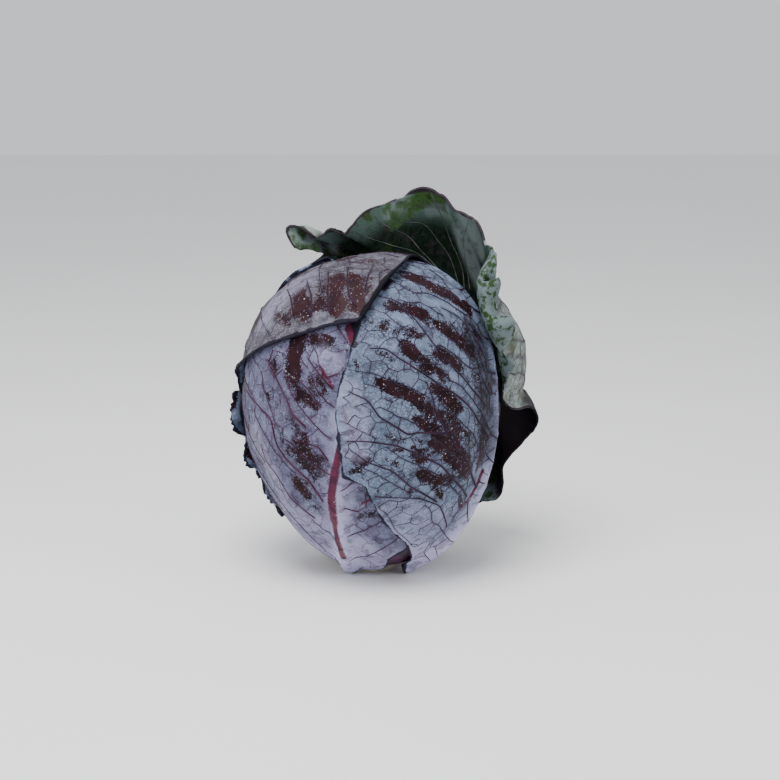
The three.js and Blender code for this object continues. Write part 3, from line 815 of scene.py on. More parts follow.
def leaf_sheet(leaf, cells, relief):
    """Two grids laid out as the leaf's outer and inner faces and closed along the rim."""
    bm = bmesh.new()
    bmesh.ops.create_grid(bm, x_segments=cells, y_segments=cells, size=1)
    copied = bmesh.ops.duplicate(bm, geom=bm.verts[:] + bm.edges[:] + bm.faces[:])["geom"]
    inner = [v for v in copied if isinstance(v, bmesh.types.BMVert)]
    bmesh.ops.translate(bm, verts=inner, vec=(0, 0, -SHEET_GAP))
    inner_faces = [f for f in copied if isinstance(f, bmesh.types.BMFace)]
    bmesh.ops.reverse_faces(bm, faces=inner_faces)
    for face in inner_faces:
        face.material_index = 1
    rims = [e for e in bm.edges if e.is_boundary]
    bmesh.ops.bridge_loops(bm, edges=rims)
    bmesh.ops.recalc_face_normals(bm, faces=bm.faces)
    mesh = mesh_of(bm, leaf.name)
    flat = np.empty(len(mesh.vertices) * 3)
    mesh.vertices.foreach_get("co", flat)
    flat = flat.reshape(-1, 3)
    x, y = leaf.plane_point(flat[:, 0], flat[:, 1])
    outside = flat[:, 2] > -SHEET_GAP / 2
    place = leaf.blade(x, y)
    place[outside] = leaf.face(x[outside], y[outside], relief(x[outside], y[outside]))
    place[:, 2] = np.maximum(place[:, 2], BASE_CUT_HEIGHT)
    mesh.vertices.foreach_set("co", (place * MM).ravel())
    return mesh, x, y


def keep_field(mesh, name, values):
    """Stores one mask on the mesh's vertices for the materials to read."""
    layer = mesh.attributes.new(name, "FLOAT", "POINT")
    layer.data.foreach_set("value", np.clip(values, 0, 2).astype(np.float32))


def keep_plane(mesh, x, y):
    """A UV map that holds each corner's plane coordinates, in metres along the leaf."""
    layer = mesh.uv_layers.new(name="leaf_plane")
    corners = np.empty(len(mesh.loops), np.int32)
    mesh.loops.foreach_get("vertex_index", corners)
    plane = np.stack([x[corners], y[corners]], 1) * MM_PER_DEGREE * MM
    layer.data.foreach_set("uv", plane.ravel())


def tubes(name, lines):
    """One closed tube along each line of points with half widths, all in metres."""
    curve = bpy.data.curves.new(name, "CURVE")
    curve.dimensions = "3D"
    curve.bevel_depth = MM
    curve.bevel_resolution = 0
    curve.use_fill_caps = True
    for points, sizes in lines:
        spline = curve.splines.new("POLY")
        spline.points.add(len(points) - 1)
        spline.points.foreach_set("co", np.hstack([points, np.ones((len(points), 1))]).ravel())
        spline.points.foreach_set("radius", sizes)
    drawn = bpy.data.objects.new(name, curve)
    bpy.context.scene.collection.objects.link(drawn)
    graph = bpy.context.evaluated_depsgraph_get()
    mesh = bpy.data.meshes.new_from_object(drawn.evaluated_get(graph))
    bpy.data.objects.remove(drawn)
    bpy.data.curves.remove(curve)
    mesh.name = name
    mesh.shade_smooth()
    return mesh


def show(name, mesh, replaced=None):
    """Adds a mesh to the scene as one piece of the cabbage."""
    piece = bpy.data.objects.new(name, mesh)
    bpy.context.scene.collection.objects.link(piece)
    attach(piece, "root")
    if replaced:
        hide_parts(replaced)
    return piece


# Shader building.


def add(tree, kind, inputs=None, **settings):
    node = tree.nodes.new(kind)
    node.location = (220 * (len(tree.nodes) % 12), -260 * (len(tree.nodes) // 12))
    for key, value in settings.items():
        setattr(node, key, value)
    for key, value in (inputs or {}).items():
        if isinstance(value, bpy.types.NodeSocket):
            tree.links.new(value, node.inputs[key])
        else:
            node.inputs[key].default_value = value
    return node


def calc(tree, operation, a, b=0.0, c=0.0):
    return add(tree, "ShaderNodeMath", {0: a, 1: b, 2: c}, operation=operation).outputs[0]


def mixed(tree, share, first, second):
    return add(tree, "ShaderNodeMix", {0: share, 6: first, 7: second}, data_type="RGBA").outputs[2]


def ramp(tree, value, low, high, start=0.0, end=1.0):
    """Eases from start at low to end at high."""
    inputs = {0: value, 1: low, 2: high, 3: start, 4: end}
    return add(tree, "ShaderNodeMapRange", inputs, interpolation_type="SMOOTHSTEP").outputs[0]


def noise(tree, place, scale, detail=2.0, rough=0.5):
    inputs = {"Vector": place, "Scale": scale, "Detail": detail, "Roughness": rough}
    return add(tree, "ShaderNodeTexNoise", inputs).outputs[0]


def field(tree, name):
    return add(tree, "ShaderNodeAttribute", attribute_name=name).outputs["Fac"]


def new_group(name, takes, gives):
    """A node group with its inputs and outputs declared; returns its tree, inputs and outputs."""
    tree = bpy.data.node_groups.new(name, "ShaderNodeTree")
    for title, kind, start in takes:
        socket = tree.interface.new_socket(title, in_out="INPUT", socket_type=kind)
        if start is not None:
            socket.default_value = start
    for title, kind in gives:
        tree.interface.new_socket(title, in_out="OUTPUT", socket_type=kind)
    source = tree.nodes.new("NodeGroupInput")
    sink = tree.nodes.new("NodeGroupOutput")
    sink.location = (2800, 0)
    return tree, source.outputs, sink.inputs


FLOAT, COLOUR, VECTOR = "NodeSocketFloat", "NodeSocketColor", "NodeSocketVector"


def wax_group():
    """Where wax is missing: rubbed patches with grainy, speckled edges."""
    takes = [("Place", VECTOR, None), ("Rub", FLOAT, 0.0), ("Grain Size", FLOAT, 1300.0)]
    tree, given, out = new_group("Worn wax", takes, [("Bare", FLOAT), ("Grain", FLOAT)])
    grain = noise(tree, given["Place"], given["Grain Size"], 3.0, 0.65)
    flakes = noise(tree, given["Place"], calc(tree, "MULTIPLY", given["Grain Size"], 0.22), 4.0, 0.6)
    rough_edge = calc(tree, "MULTIPLY_ADD", calc(tree, "SUBTRACT", grain, 0.5), 2.0, given["Rub"])
    level = calc(tree, "MULTIPLY_ADD", calc(tree, "SUBTRACT", flakes, 0.5), 1.5, rough_edge)
    tree.links.new(ramp(tree, level, 0.38, 0.72), out["Bare"])
    tree.links.new(grain, out["Grain"])
    return tree


def drift_group():
    """Three colours that drift into one another over the surface."""
    takes = [
        ("Place", VECTOR, None), ("Scale", FLOAT, 30.0), ("First", COLOUR, (0, 0, 0, 1)),
        ("Second", COLOUR, (0, 0, 0, 1)), ("Third", COLOUR, (0, 0, 0, 1)),
    ]
    tree, given, out = new_group("Colour drift", takes, [("Colour", COLOUR)])
    wide = noise(tree, given["Place"], given["Scale"], 3.0, 0.55)
    close = noise(tree, given["Place"], calc(tree, "MULTIPLY", given["Scale"], 4.3), 3.0, 0.6)
    pair = mixed(tree, ramp(tree, wide, 0.38, 0.62), given["First"], given["Second"])
    tree.links.new(mixed(tree, ramp(tree, close, 0.46, 0.74), pair, given["Third"]), out["Colour"])
    return tree


def net_group():
    """The finest net of veins, and a height for it."""
    takes = [("Place", VECTOR, None), ("Scale", FLOAT, 420.0), ("Width", FLOAT, 0.16)]
    tree, given, out = new_group("Fine vein net", takes, [("Lines", FLOAT), ("Height", FLOAT)])
    push = add(tree, "ShaderNodeTexNoise", {"Vector": given["Place"], "Scale": 260.0, "Detail": 2.0})
    centred = {0: push.outputs["Color"], 1: (0.5, 0.5, 0.5)}
    swing = add(tree, "ShaderNodeVectorMath", centred, operation="SUBTRACT")
    small = add(tree, "ShaderNodeVectorMath", {0: swing.outputs[0], "Scale": 0.0022}, operation="SCALE")
    moved = add(tree, "ShaderNodeVectorMath", {0: given["Place"], 1: small.outputs[0]}, operation="ADD")
    cells = {"Vector": moved.outputs[0], "Scale": given["Scale"]}
    edge = add(tree, "ShaderNodeTexVoronoi", cells, feature="DISTANCE_TO_EDGE").outputs["Distance"]
    lines = ramp(tree, edge, 0.0, given["Width"], 1.0, 0.0)
    tree.links.new(lines, out["Lines"])
    puffed = calc(tree, "MULTIPLY", ramp(tree, edge, 0.0, 0.5), 0.6)
    tree.links.new(calc(tree, "MULTIPLY_ADD", lines, 0.5, puffed), out["Height"])
    return tree


def dots_group():
    """Scattered tiny round pale specks: flecks of wax, and painted glints of tiny water drops."""
    takes = [("Place", VECTOR, None), ("Scale", FLOAT, 500.0), ("Amount", FLOAT, 0.4)]
    tree, given, out = new_group("Specks", takes, [("Specks", FLOAT)])
    cell = add(tree, "ShaderNodeTexVoronoi", {"Vector": given["Place"], "Scale": given["Scale"]})
    near = ramp(tree, cell.outputs["Distance"], 0.12, 0.3, 1.0, 0.0)
    tone = add(tree, "ShaderNodeSeparateColor", {0: cell.outputs["Color"]}).outputs[0]
    chosen = calc(tree, "LESS_THAN", tone, given["Amount"])
    tree.links.new(calc(tree, "MULTIPLY", near, chosen), out["Specks"])
    return tree


GROUPS = {
    "Worn wax": wax_group,
    "Colour drift": drift_group,
    "Fine vein net": net_group,
    "Specks": dots_group,
}


def build_groups():
    for name, maker in GROUPS.items():
        if name not in bpy.data.node_groups:
            maker()


def use_group(tree, name, **inputs):
    """Places a group; its inputs are given by title, with underscores for spaces."""
    titled = {key.replace("_", " "): value for key, value in inputs.items()}
    group = bpy.data.node_groups[name]
    return add(tree, "ShaderNodeGroup", titled, node_tree=group, label=name).outputs


def blank_material(name):
    """A material with a Principled shader; returns it, its tree, the shader and a place on the object."""
    material = bpy.data.materials.new(name)
    material.use_nodes = True
    tree = material.node_tree
    shader = tree.nodes["Principled BSDF"]
    place = add(tree, "ShaderNodeTexCoord").outputs["Object"]
    return material, tree, shader, place


def rgba(colour):
    return (*colour, 1.0)


def tinted(colour, factor, add_to=(0, 0, 0)):
    return tuple(min(1, c * factor + a) for c, a in zip(colour, add_to))


# Pale wax and green blotches on the outer leaf's turned-back flap, and the rims of close and loose leaves.
FLAP = (0.11, 0.14, 0.145)
GREEN = (0.04, 0.085, 0.027)
DARK_RIM = (0.009, 0.007, 0.015)
LOOSE_RIM = (0.03, 0.02, 0.03)

# How strongly the fine net, the main veins and the specks tint a leaf, and how glossy it is.
FAINT_NET, CLEAR_NET = 0.08, 0.64
VEIN_TINT = 0.55
# Pale specks on bare skin: partly flecks of wax, partly painted glints of tiny water drops.
BARE_SPECKS_AND_GLINTS = 0.25
WAX_TO_BARE_ROUGHNESS = (0.6, 0.42)
SKIN_GLOSS = 0.06
VEIN_GLOSS = 0.12
VEIN_ROUGHNESS = 0.5


def skin_material(name, blooms, bare, bare_deep, vein, pale, blush, rim, light=None, specks=0.35):
    """A leaf's face: drifting waxy bloom over dark skin, tinted along veins, rim, blush and base, with
    painted light towards the rim where a light colour is given.
    """
    material, tree, shader, place = blank_material(name)
    plane = add(tree, "ShaderNodeUVMap", uv_map="leaf_plane").outputs[0]
    # The rub mask also carries painted shade on the right front leaf's right edge.
    wax = use_group(tree, "Worn wax", Place=place, Rub=field(tree, "rub"))
    fine = use_group(tree, "Fine vein net", Place=plane)
    spots = use_group(tree, "Specks", Place=place, Scale=560.0, Amount=0.3)["Specks"]
    first, second, third = (rgba(bloom) for bloom in blooms)
    bloom = use_group(tree, "Colour drift", Place=place, First=first, Second=second, Third=third)["Colour"]
    clear = ramp(tree, noise(tree, place, 70.0, 3.0), 0.35, 0.65, FAINT_NET, CLEAR_NET)
    bloom = mixed(tree, calc(tree, "MULTIPLY", fine["Lines"], clear), bloom, rgba(vein))
    bloom = mixed(tree, calc(tree, "MULTIPLY", field(tree, "vein"), VEIN_TINT), bloom, rgba(vein))
    bloom = mixed(tree, calc(tree, "MULTIPLY", spots, specks), bloom, rgba(pale))
    # Painted light: the inner face turns the light colour towards its rim, where the cup opens to the lamps.
    if light:
        painted_rim_light = calc(tree, "MULTIPLY_ADD", wax["Grain"], 0.3, field(tree, "light"))
        bloom = mixed(tree, ramp(tree, painted_rim_light, 0.35, 1.15), bloom, rgba(light))
    patchy = ramp(tree, noise(tree, place, 120.0, 3.0), 0.35, 0.65)
    under = mixed(tree, patchy, rgba(bare), rgba(bare_deep))
    # Pale specks on bare skin, partly painted glints of water drops.
    under = mixed(tree, calc(tree, "MULTIPLY", spots, BARE_SPECKS_AND_GLINTS), under, rgba(pale))
    colour = marked(tree, place, wax["Grain"], mixed(tree, wax["Bare"], bloom, under), pale, blush, rim)
    tree.links.new(colour, shader.inputs["Base Color"])
    tree.links.new(ramp(tree, wax["Bare"], 0.0, 1.0, *WAX_TO_BARE_ROUGHNESS), shader.inputs["Roughness"])
    bumps = calc(tree, "MULTIPLY_ADD", fine["Height"], 0.6, calc(tree, "MULTIPLY", wax["Grain"], 0.5))
    bump = add(tree, "ShaderNodeBump", {"Height": bumps, "Strength": 0.4, "Distance": 0.0005})
    tree.links.new(bump.outputs[0], shader.inputs["Normal"])
    shader.inputs["Specular IOR Level"].default_value = SKIN_GLOSS
    return material


def marked(tree, place, fine_grain, colour, pale, blush, rim):
    """A leaf's colour with its pale base, pale wax (partly painted light), green, blush, rim, flap and
    painted shadow laid over it.
    """
    grain = ramp(tree, fine_grain, 0.3, 0.7, -0.5, 0.5)
    # Pale base and pale wax, partly painted light on the outer leaf's ruffle.
    pale_and_lit = calc(tree, "MAXIMUM", field(tree, "base"), field(tree, "pale"))
    colour = mixed(tree, pale_and_lit, colour, rgba(pale))
    edge_noise = ramp(tree, noise(tree, place, 180.0, 3.0), 0.35, 0.65, -0.5, 0.5)
    mottled = calc(tree, "MULTIPLY_ADD", grain, 0.7, calc(tree, "ADD", edge_noise, 1.0))
    greened = calc(tree, "MULTIPLY", mottled, field(tree, "green"))
    colour = mixed(tree, ramp(tree, greened, 0.3, 0.85, 0.0, 0.9), colour, rgba(GREEN))
    blushed = calc(tree, "MULTIPLY_ADD", grain, 0.4, field(tree, "blush"))
    height = add(tree, "ShaderNodeSeparateXYZ", {0: place}).outputs[2]
    warm = calc(tree, "MULTIPLY_ADD", grain, 0.02, height)
    low_blush = tinted(blush, 1.2, (0.02, 0.04, 0.01))
    stripe = mixed(tree, ramp(tree, warm, 0.02, 0.06), rgba(low_blush), rgba(blush))
    streaked = ramp(tree, noise(tree, place, 260.0, 4.0), 0.36, 0.66)
    stripe = mixed(tree, streaked, stripe, rgba(tinted(blush, 0.68)))
    colour = mixed(tree, ramp(tree, blushed, 0.25, 0.85, 0.0, 0.95), colour, stripe)
    edged = calc(tree, "MULTIPLY_ADD", edge_noise, 0.8, field(tree, "rim"))
    colour = mixed(tree, ramp(tree, edged, 0.15, 0.7, 0.0, 0.95), colour, rgba(rim))
    blotches = ramp(tree, noise(tree, place, 210.0, 5.0, 0.65), 0.47, 0.58)
    strip = mixed(tree, blotches, rgba(FLAP), rgba(tinted(GREEN, 0.5)))
    colour = mixed(tree, field(tree, "flap"), colour, strip)
    # Painted shadow: the dark bands turn the colour near black.
    return mixed(tree, ramp(tree, field(tree, "dark"), 0.1, 0.9), colour, rgba(tinted(rim, 0.4)))


def fine_bump(tree, shader, place, scale, distance):
    """Joins a faint grain to the shader's normal."""
    grain = {"Height": noise(tree, place, scale), "Strength": 0.2, "Distance": distance}
    tree.links.new(add(tree, "ShaderNodeBump", grain).outputs[0], shader.inputs["Normal"])


def vein_material(name, dark, light):
    """Raised veins, waxy in places."""
    material, tree, shader, place = blank_material(name)
    share = ramp(tree, noise(tree, place, 90.0, 4.0, 0.6), 0.42, 0.66)
    tree.links.new(mixed(tree, share, rgba(dark), rgba(light)), shader.inputs["Base Color"])
    fine_bump(tree, shader, place, 900.0, 0.0003)
    shader.inputs["Roughness"].default_value = VEIN_ROUGHNESS
    shader.inputs["Specular IOR Level"].default_value = VEIN_GLOSS
    return material


def plain_material(name, first, second, scale, rough):
    """Two tones that drift over a surface, with a little grain."""
    material, tree, shader, place = blank_material(name)
    share = ramp(tree, noise(tree, place, scale, 4.0, 0.6), 0.38, 0.64)
    tree.links.new(mixed(tree, share, rgba(first), rgba(second)), shader.inputs["Base Color"])
    fine_bump(tree, shader, place, scale * 8, 0.0004)
    shader.inputs["Roughness"].default_value = rough
    return material


# Pieces.


def relief_of(leaf, strong, every, share):
    """Gives the height of ridges, waves and folds in mm; strong and every hold points along veins."""

    def relief(x, y):
        main = MAIN_RIDGE * bell(distances(strong, x, y), MAIN_RIDGE_SPREAD)
        ridge = main + FINE_RIDGE * bell(distances(every, x, y), FINE_RIDGE_SPREAD)
        waves = WAVE_HEIGHT * wandering(x, y, WAVE_LENGTH, leaf.azimuth % 97)
        return share * (ridge + (waves + FOLD_HEIGHT * marks(leaf, FOLDED, x, y)))

    return relief


def rubbed_and_shaded_share(leaf, net, to_strong, x, y):
    """Where the wax is thin, with painted shade in a few placed bands: placed bands in front, chance patches
    behind, faint streaks all over.
    """
    cx, cy = net.cell_centres(x, y)
    hand = 0.4 * marks(leaf, RUBBED_AND_SHADED, cx, cy) + 0.6 * marks(leaf, RUBBED_AND_SHADED, x, y)
    unseen = smooth(58, 75, np.abs(azimuth_of(leaf.direction_of(x, y))))
    chance = smooth(0.25, 0.8, wandering(cx, cy, 19, 41)) * 0.9
    along = y - (net.rise + ROW_BEND * y) * np.abs(x)
    streaks = wandering(along * 1.7, x * 0.45, 12, 7) + 0.5 * wandering(along * 3.1, x * 0.8, 12, 17)
    faint = 0.3 * smooth(0.1, 1.1, streaks)
    return (hand + chance * unseen + faint) * (0.55 + 0.45 * (1 - bell(to_strong, 1.1)))


def skin_masks(leaf, net, strong, every, rim_width, x, y):
    """The masks that a leaf's materials read, by name."""
    edge = leaf.margin_at(np.arctan2(y, x))
    inside = (edge["reach"] - np.hypot(x, y)) * MM_PER_DEGREE
    to_strong, to_any = distances(strong, x, y), distances(every, x, y)
    climb = (y - leaf.base) / (leaf.tip - leaf.base)
    ribbed = bell(x * MM_PER_DEGREE, 8) * (1 - smooth(0.1, 0.7, climb)) * 0.85
    flap = 1 - smooth(edge["flap"], edge["flap"] + FLAP_FADE, inside)
    return {
        "rub": rubbed_and_shaded_share(leaf, net, to_strong, x, y),
        "vein": np.minimum(1, bell(to_strong, 1.0) + 0.5 * bell(to_any, 0.7)),
        "blush": marks(leaf, BLUSHED, x, y),
        # Painted shadow bands.
        "dark": marks(leaf, PAINTED_SHADOWS, x, y),
        # Pale wax bands; on the outer leaf's ruffle they are partly painted light.
        "pale": marks(leaf, PALE_WAX_AND_LIGHT, x, y),
        "rim": 1 - smooth(0.3 * rim_width, rim_width, inside),
        "green": marks(leaf, GREENED, x, y),
        # Painted light towards the rim of the outer leaf's cup.
        "light": 1 - smooth(1, 20, inside),
        "flap": np.where(edge["flap"] > LEAST_FLAP, flap, 0),
        "base": np.minimum(1, ribbed + 0.9 * (1 - smooth(0.02, 0.2, climb))),
    }


def show_veins(name, lines, place, width, look):
    """Shows tubes along plane lines; place gives their points in mm from plane x and y and half width."""
    x, y, size, _ = np.vstack(lines).T
    cuts = np.cumsum([len(line) for line in lines])[:-1]
    placed = zip(np.split(place(x, y, size) * MM, cuts), np.split(size * width, cuts))
    mesh = tubes(name, placed)
    mesh.materials.append(look)
    show(name, mesh)


def dress_leaf(leaf, cells, rim_width, skins, vein_look, sizes):
    """Builds one leaf with its veins; skins are the outer and inner materials."""
    net = VeinNet(leaf, **VEINS[leaf.name])
    lines = net.lines()
    strong = tree_of(np.vstack([line[:, :2] for line in lines if line[0, 3]]))
    every = tree_of(np.vstack([line[:, :2] for line in lines]))
    relief = relief_of(leaf, strong, every, sizes.relief)
    mesh, x, y = leaf_sheet(leaf, cells, relief)
    for name, values in skin_masks(leaf, net, strong, every, rim_width, x, y).items():
        keep_field(mesh, name, values)
    keep_plane(mesh, x, y)
    for skin in skins:
        mesh.materials.append(skin)
    show(leaf.name + "_skin", mesh, leaf.name)

    def on_outside(px, py, size):
        return leaf.face(px, py, relief(px, py) - size * VEIN_SINK)

    def on_inside(px, py, size):
        return leaf.blade(px, py) + leaf.normal(px, py) * (size * INNER_VEIN_RISE)[:, None]

    show_veins(leaf.name + "_veins", lines, on_outside, sizes.vein, vein_look)
    if leaf.name in INNER_VEINS:
        inner = [net.shown_line(*vein) for vein in INNER_VEINS[leaf.name]]
        look = vein_material("Pale inner veins", (0.04, 0.05, 0.045), (0.11, 0.12, 0.115))
        show_veins(leaf.name + "_inner_veins", inner, on_inside, sizes.vein, look)


class CabbageSizes(bpy.types.PropertyGroup):
    detail: bpy.props.FloatProperty(
        name="Leaf detail", description="How finely the leaves are divided", default=1.0, min=0.2, max=1.2
    )
    relief: bpy.props.FloatProperty(
        name="Relief", description="Height of the ridges along the veins, as a share", default=1.0, min=0
    )
    vein: bpy.props.FloatProperty(
        name="Vein width", description="Width of the raised veins, as a share", default=1.0, min=0.1
    )
    dew: bpy.props.FloatProperty(
        name="Dew", description="How densely the drops of dew lie, as a share", default=0.5, min=0, max=1
    )
    floor: bpy.props.FloatProperty(
        name="Floor", description="Half the floor's side", default=3.0, unit="LENGTH", subtype="DISTANCE"
    )


def colour_property(name, description, default):
    return bpy.props.FloatVectorProperty(
        name=name, description=description, default=default, subtype="COLOR", min=0, max=1
    )


class CabbageColours(bpy.types.PropertyGroup):
    bloom: colour_property("Blue bloom", "Wax on the right front leaf", (0.142, 0.178, 0.262))
    lilac: colour_property("Lilac bloom", "Wax on the left front leaf", (0.142, 0.145, 0.235))
    grey: colour_property("Grey bloom", "Wax on the top leaf", (0.115, 0.11, 0.135))
    bare: colour_property("Bare skin", "Skin where the wax is rubbed off", (0.021, 0.0070, 0.010))
    vein: colour_property("Vein", "Raised veins on the head leaves", (0.014, 0.0045, 0.012))
    magenta: colour_property("Magenta", "Blush beside ribs and folds", (0.095, 0.009, 0.03))
    # The inner green is darkened as painted shade, deep in the outer leaf's cup.
    green: colour_property("Green", "Inner face of the loose outer leaf", (0.003, 0.008, 0.004))
    sage: colour_property("Sage bloom", "Outer face of the loose outer leaf", (0.22, 0.26, 0.245))
    pale: colour_property("Pale base", "Ribs and leaf bases", (0.43, 0.41, 0.60))
    floor: colour_property("Floor", "The floor under the head", (0.86, 0.86, 0.86))


class CABBAGE_OT_leaves(bpy.types.Operator):
    """Build the five leaves with their veins"""

    bl_idname = "cabbage.leaves"
    bl_label = "Leaves"

    def execute(self, context):
        sizes, hues = context.scene.cabbage_sizes, context.scene.cabbage_colours
        build_groups()
        bare, vein = hues.bare[:], hues.vein[:]
        bloom, lilac, grey, sage, green = (
            colour[:] for colour in (hues.bloom, hues.lilac, hues.grey, hues.sage, hues.green)
        )
        close = {"pale": hues.pale[:], "blush": hues.magenta[:], "rim": DARK_RIM}
        right = skin_material(
            "Blue waxy leaf", (bloom, tinted(bloom, 0.74), tinted(bloom, 1.22)),
            bare, tinted(bare, 0.5), vein, **close,
        )
        left = skin_material(
            "Lilac waxy leaf", (lilac, tinted(lilac, 0.66), tinted(lilac, 1.15, (0, 0.025, 0.01))),
            bare, tinted(bare, 0.5), (0.045, 0.010, 0.03), **close,
        )
        top = skin_material(
            "Grey waxy leaf", (grey, tinted(grey, 0.6), tinted(grey, 1.25, (0, 0.01, 0.02))),
            tinted(bare, 1.4, (0, 0.002, 0)), bare, vein, **close,
        )
        outer = skin_material(
            "Loose leaf outside", (sage, tinted(sage, 0.6), tinted(sage, 1.3)),
            (0.09, 0.11, 0.06), (0.06, 0.07, 0.05), (0.03, 0.015, 0.03),
            pale=(0.30, 0.35, 0.33), blush=(0.08, 0.03, 0.06), rim=LOOSE_RIM,
        )
        # The inner face's green is darkened as painted shade deep in the cup, and its light colour is
        # painted light at the rim.
        inner = skin_material(
            "Loose leaf inside", (green, tinted(green, 1.3), tinted(green, 1.8)),
            (0.012, 0.025, 0.008), (0.02, 0.035, 0.01), (0.015, 0.026, 0.02),
            pale=(0.20, 0.24, 0.24), blush=(0.05, 0.03, 0.05), rim=LOOSE_RIM,
            light=(0.070, 0.108, 0.095), specks=0.05,
        )
        purple_veins = vein_material("Purple veins", vein, tinted(vein, 2, (0.004, 0.003, 0.008)))
        magenta_veins = vein_material("Magenta veins", (0.028, 0.004, 0.015), (0.06, 0.02, 0.045))
        sage_veins = vein_material("Dull purple veins", (0.03, 0.015, 0.03), (0.09, 0.09, 0.09))
        plan = [
            ("leaf_front_left", 160, 2.0, "head_leaf", (left, right), magenta_veins),
            ("leaf_front_right", 190, 1.4, "head_leaf", (right, right), purple_veins),
            ("leaf_top_left", 160, 2.8, "head_leaf", (top, right), purple_veins),
            ("leaf_back_left", 110, 1.2, "loose_leaf", (right, right), purple_veins),
            ("leaf_wrapper", 190, 0.8, "loose_leaf", (outer, inner), sage_veins),
        ]
        for name, cells, rim_width, slot, skins, vein_look in plan:
            dress_leaf(LEAVES[name], int(cells * sizes.detail), rim_width, skins, vein_look, sizes)
        return {"FINISHED"}


class CABBAGE_OT_heart(bpy.types.Operator):
    """Build the ball of packed inner leaves"""

    bl_idname = "cabbage.heart"
    bl_label = "Heart"

    def execute(self, context):
        bare = context.scene.cabbage_colours.bare[:]
        bm = bmesh.new()
        bmesh.ops.create_icosphere(bm, subdivisions=6, radius=1)
        d = unit(np.array([v.co[:] for v in bm.verts]))
        latitude = latitude_of(d)
        swell = HEART_FOLD * np.sin(np.radians(azimuth_of(d) * 3 + latitude * 2))
        place = on_head(d, heart_radius(d) + swell * np.cos(np.radians(latitude)))
        place[:, 2] = np.maximum(place[:, 2], HEART_BASE_HEIGHT)
        for vert, co in zip(bm.verts, place * MM):
            vert.co = co
        mesh = mesh_of(bm, "heart")
        mesh.materials.append(plain_material("Heart", bare, tinted(bare, 2.2, (0.03, 0, 0.05)), 60.0, 0.45))
        show("heart_ball", mesh, "heart")
        return {"FINISHED"}


class CABBAGE_OT_stem(bpy.types.Operator):
    """Build the cut stem under the head"""

    bl_idname = "cabbage.stem"
    bl_label = "Stem"

    def execute(self, context):
        height = STEM_HIGH.z - STEM_LOW.z
        radius = (STEM_HIGH.x - STEM_LOW.x) / 2
        bm = bmesh.new()
        bmesh.ops.create_cone(
            bm, cap_ends=True, segments=96, radius1=radius, radius2=radius - STEM_TAPER, depth=height,
            matrix=Matrix.Translation((0, 0, height / 2)),
        )
        rim = [edge for edge in bm.edges if all(vert.co.z < STEM_BEVEL / 8 for vert in edge.verts)]
        bmesh.ops.bevel(
            bm, geom=rim, offset=STEM_BEVEL, segments=3, profile=0.5, affect="EDGES", material=-1
        )
        mesh = mesh_of(bm, "stem", shade_smooth=False)
        mesh.materials.append(plain_material("Cut stem", (0.62, 0.55, 0.40), (0.74, 0.70, 0.56), 140.0, 0.7))
        show("stem_stump", mesh, "stem")
        return {"FINISHED"}


def aim(holder, place, target):
    """Puts a lamp or the camera in its place, turned to the target."""
    holder.location = place
    holder.rotation_euler = (target - Vector(place)).to_track_quat("-Z", "Y").to_euler()
    bpy.context.scene.collection.objects.link(holder)


def lamp(name, place, size, power, colour):
    light = bpy.data.lights.new(name, "AREA")
    light.shape = "DISK"
    light.size = size
    light.energy = power
    light.color = colour
    aim(bpy.data.objects.new(name, light), place, LAMP_AIM)


class CABBAGE_OT_dew(bpy.types.Operator):
    """Scatter small drops of dew over the front of the head leaves"""

    bl_idname = "cabbage.dew"
    bl_label = "Dew"

    def execute(self, context):
        random = np.random.default_rng(4)
        bm = bmesh.new()
        for name in ("leaf_front_left", "leaf_front_right", "leaf_top_left"):
            leaf = LEAVES[name]
            above = [other for other in LEAVES.values() if leaf in other.below]
            azimuth = random.uniform(-75, 75, DEW_TRIES)
            latitude = np.degrees(np.arcsin(random.uniform(-0.9, 0.99, DEW_TRIES)))
            d = direction(azimuth, latitude)
            x, y = leaf.plane_of(d)
            room = leaf.margin_at(np.arctan2(y, x))["reach"] - np.hypot(x, y)
            wet = marks(leaf, RUBBED_AND_SHADED, x, y) + 0.25 + 0.5 * smooth(-35, -60, azimuth)
            kept = (room > DEW_MARGIN) & (random.random(DEW_TRIES) < wet * context.scene.cabbage_sizes.dew)
            for other in above:
                kept &= other.cover_height(d) < 0.01
            x, y = x[kept], y[kept]
            size = DEW_RADIUS + DEW_ADDED * random.random(len(x)) ** DEW_RARITY
            spots = leaf.face(x, y, DEW_RAISED) * MM
            for spot, up, radius in zip(spots, leaf.normal(x, y), size * MM):
                turn = Vector(up).to_track_quat("Z", "Y").to_matrix().to_4x4()
                flattened = Matrix.Diagonal((radius, radius, radius * DEW_HEIGHT, 1))
                shape = Matrix.Translation(spot) @ turn @ flattened
                bmesh.ops.create_icosphere(bm, subdivisions=1, radius=1, matrix=shape)
        mesh = mesh_of(bm, "dew")
        material, tree, shader, place = blank_material("Dew")
        shade = noise(tree, place, 300.0)
        tree.links.new(ramp(tree, shade, 0.3, 0.7, 0.02, 0.08), shader.inputs["Roughness"])
        shader.inputs["Base Color"].default_value = (0.8, 0.84, 0.88, 1)
        shader.inputs["IOR"].default_value = 1.33
        shader.inputs["Transmission Weight"].default_value = 0.6
        mesh.materials.append(material)
        show("dew", mesh)
        return {"FINISHED"}


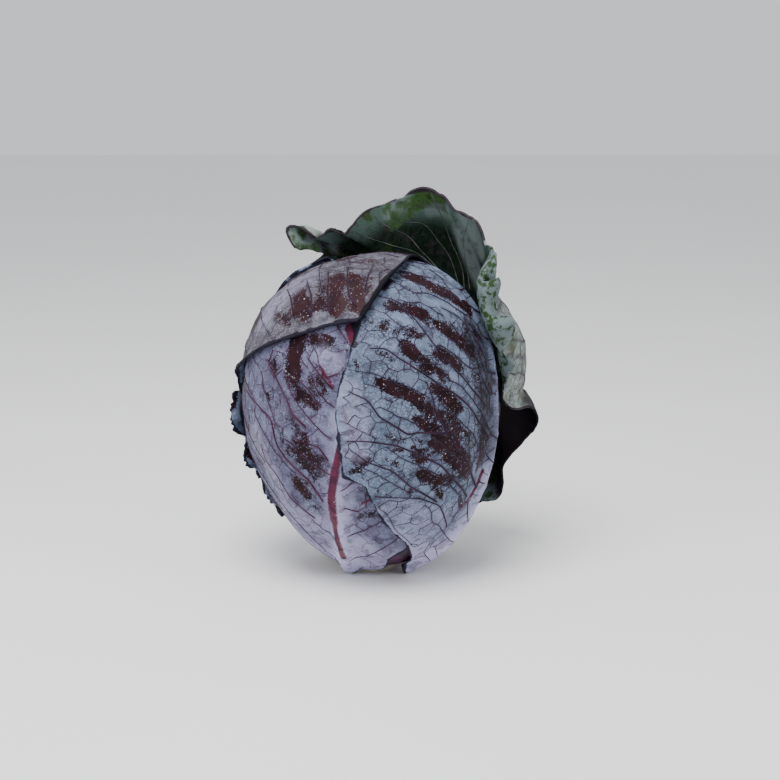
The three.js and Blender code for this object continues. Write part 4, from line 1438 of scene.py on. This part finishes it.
class CABBAGE_OT_stage(bpy.types.Operator):
    """Set out the floor, the lights and the camera"""

    bl_idname = "cabbage.stage"
    bl_label = "Stage"

    def execute(self, context):
        scene = context.scene
        bm = bmesh.new()
        bmesh.ops.create_grid(bm, x_segments=1, y_segments=1, size=scene.cabbage_sizes.floor)
        mesh = mesh_of(bm, "floor", shade_smooth=False)
        hue = scene.cabbage_colours.floor[:]
        mesh.materials.append(plain_material("Floor", hue, tinted(hue, 0.98), 2.0, 0.9))
        floor = bpy.data.objects.new("floor", mesh)
        scene.collection.objects.link(floor)
        world = bpy.data.worlds.new("Pale room")
        world.use_nodes = True
        sky = world.node_tree.nodes["Background"].inputs
        sky["Color"].default_value = ROOM_COLOUR
        sky["Strength"].default_value = ROOM_LIGHT
        scene.world = world
        for facts in LAMPS:
            lamp(*facts)
        rise = math.radians(CAMERA_ELEVATION)
        camera = bpy.data.objects.new("Camera", bpy.data.cameras.new("Camera"))
        camera.data.lens = CAMERA_LENS
        camera.data.sensor_width = CAMERA_SENSOR
        back = Vector((0, -math.cos(rise), math.sin(rise)))
        aim(camera, CAMERA_TARGET + CAMERA_DISTANCE * back, CAMERA_TARGET)
        scene.camera = camera
        return {"FINISHED"}


class CABBAGE_PT_panel(bpy.types.Panel):
    """Lists the sizes, the colours and the steps"""

    bl_label = "Red cabbage"
    bl_space_type = "VIEW_3D"
    bl_region_type = "UI"
    bl_category = "Cabbage"

    def draw(self, context):
        for group in (context.scene.cabbage_sizes, context.scene.cabbage_colours):
            for name in group.bl_rna.properties.keys():
                if name not in ("rna_type", "name"):
                    self.layout.prop(group, name)
        for step in STEPS:
            self.layout.operator(step.bl_idname)


STEPS = (CABBAGE_OT_leaves, CABBAGE_OT_heart, CABBAGE_OT_stem, CABBAGE_OT_dew, CABBAGE_OT_stage)
CLASSES = (CabbageSizes, CabbageColours, *STEPS, CABBAGE_PT_panel)


def register():
    for cls in CLASSES:
        bpy.utils.register_class(cls)
    bpy.types.Scene.cabbage_sizes = bpy.props.PointerProperty(type=CabbageSizes)
    bpy.types.Scene.cabbage_colours = bpy.props.PointerProperty(type=CabbageColours)


def unregister():
    del bpy.types.Scene.cabbage_colours
    del bpy.types.Scene.cabbage_sizes
    for cls in reversed(CLASSES):
        bpy.utils.unregister_class(cls)


def main():
    """Builds the head step by step."""
    register()
    bpy.ops.cabbage.leaves()
    bpy.ops.cabbage.heart()
    bpy.ops.cabbage.stem()
    bpy.ops.cabbage.dew()
    bpy.ops.cabbage.stage()
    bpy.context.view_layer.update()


if __name__ == "__main__":
    main()
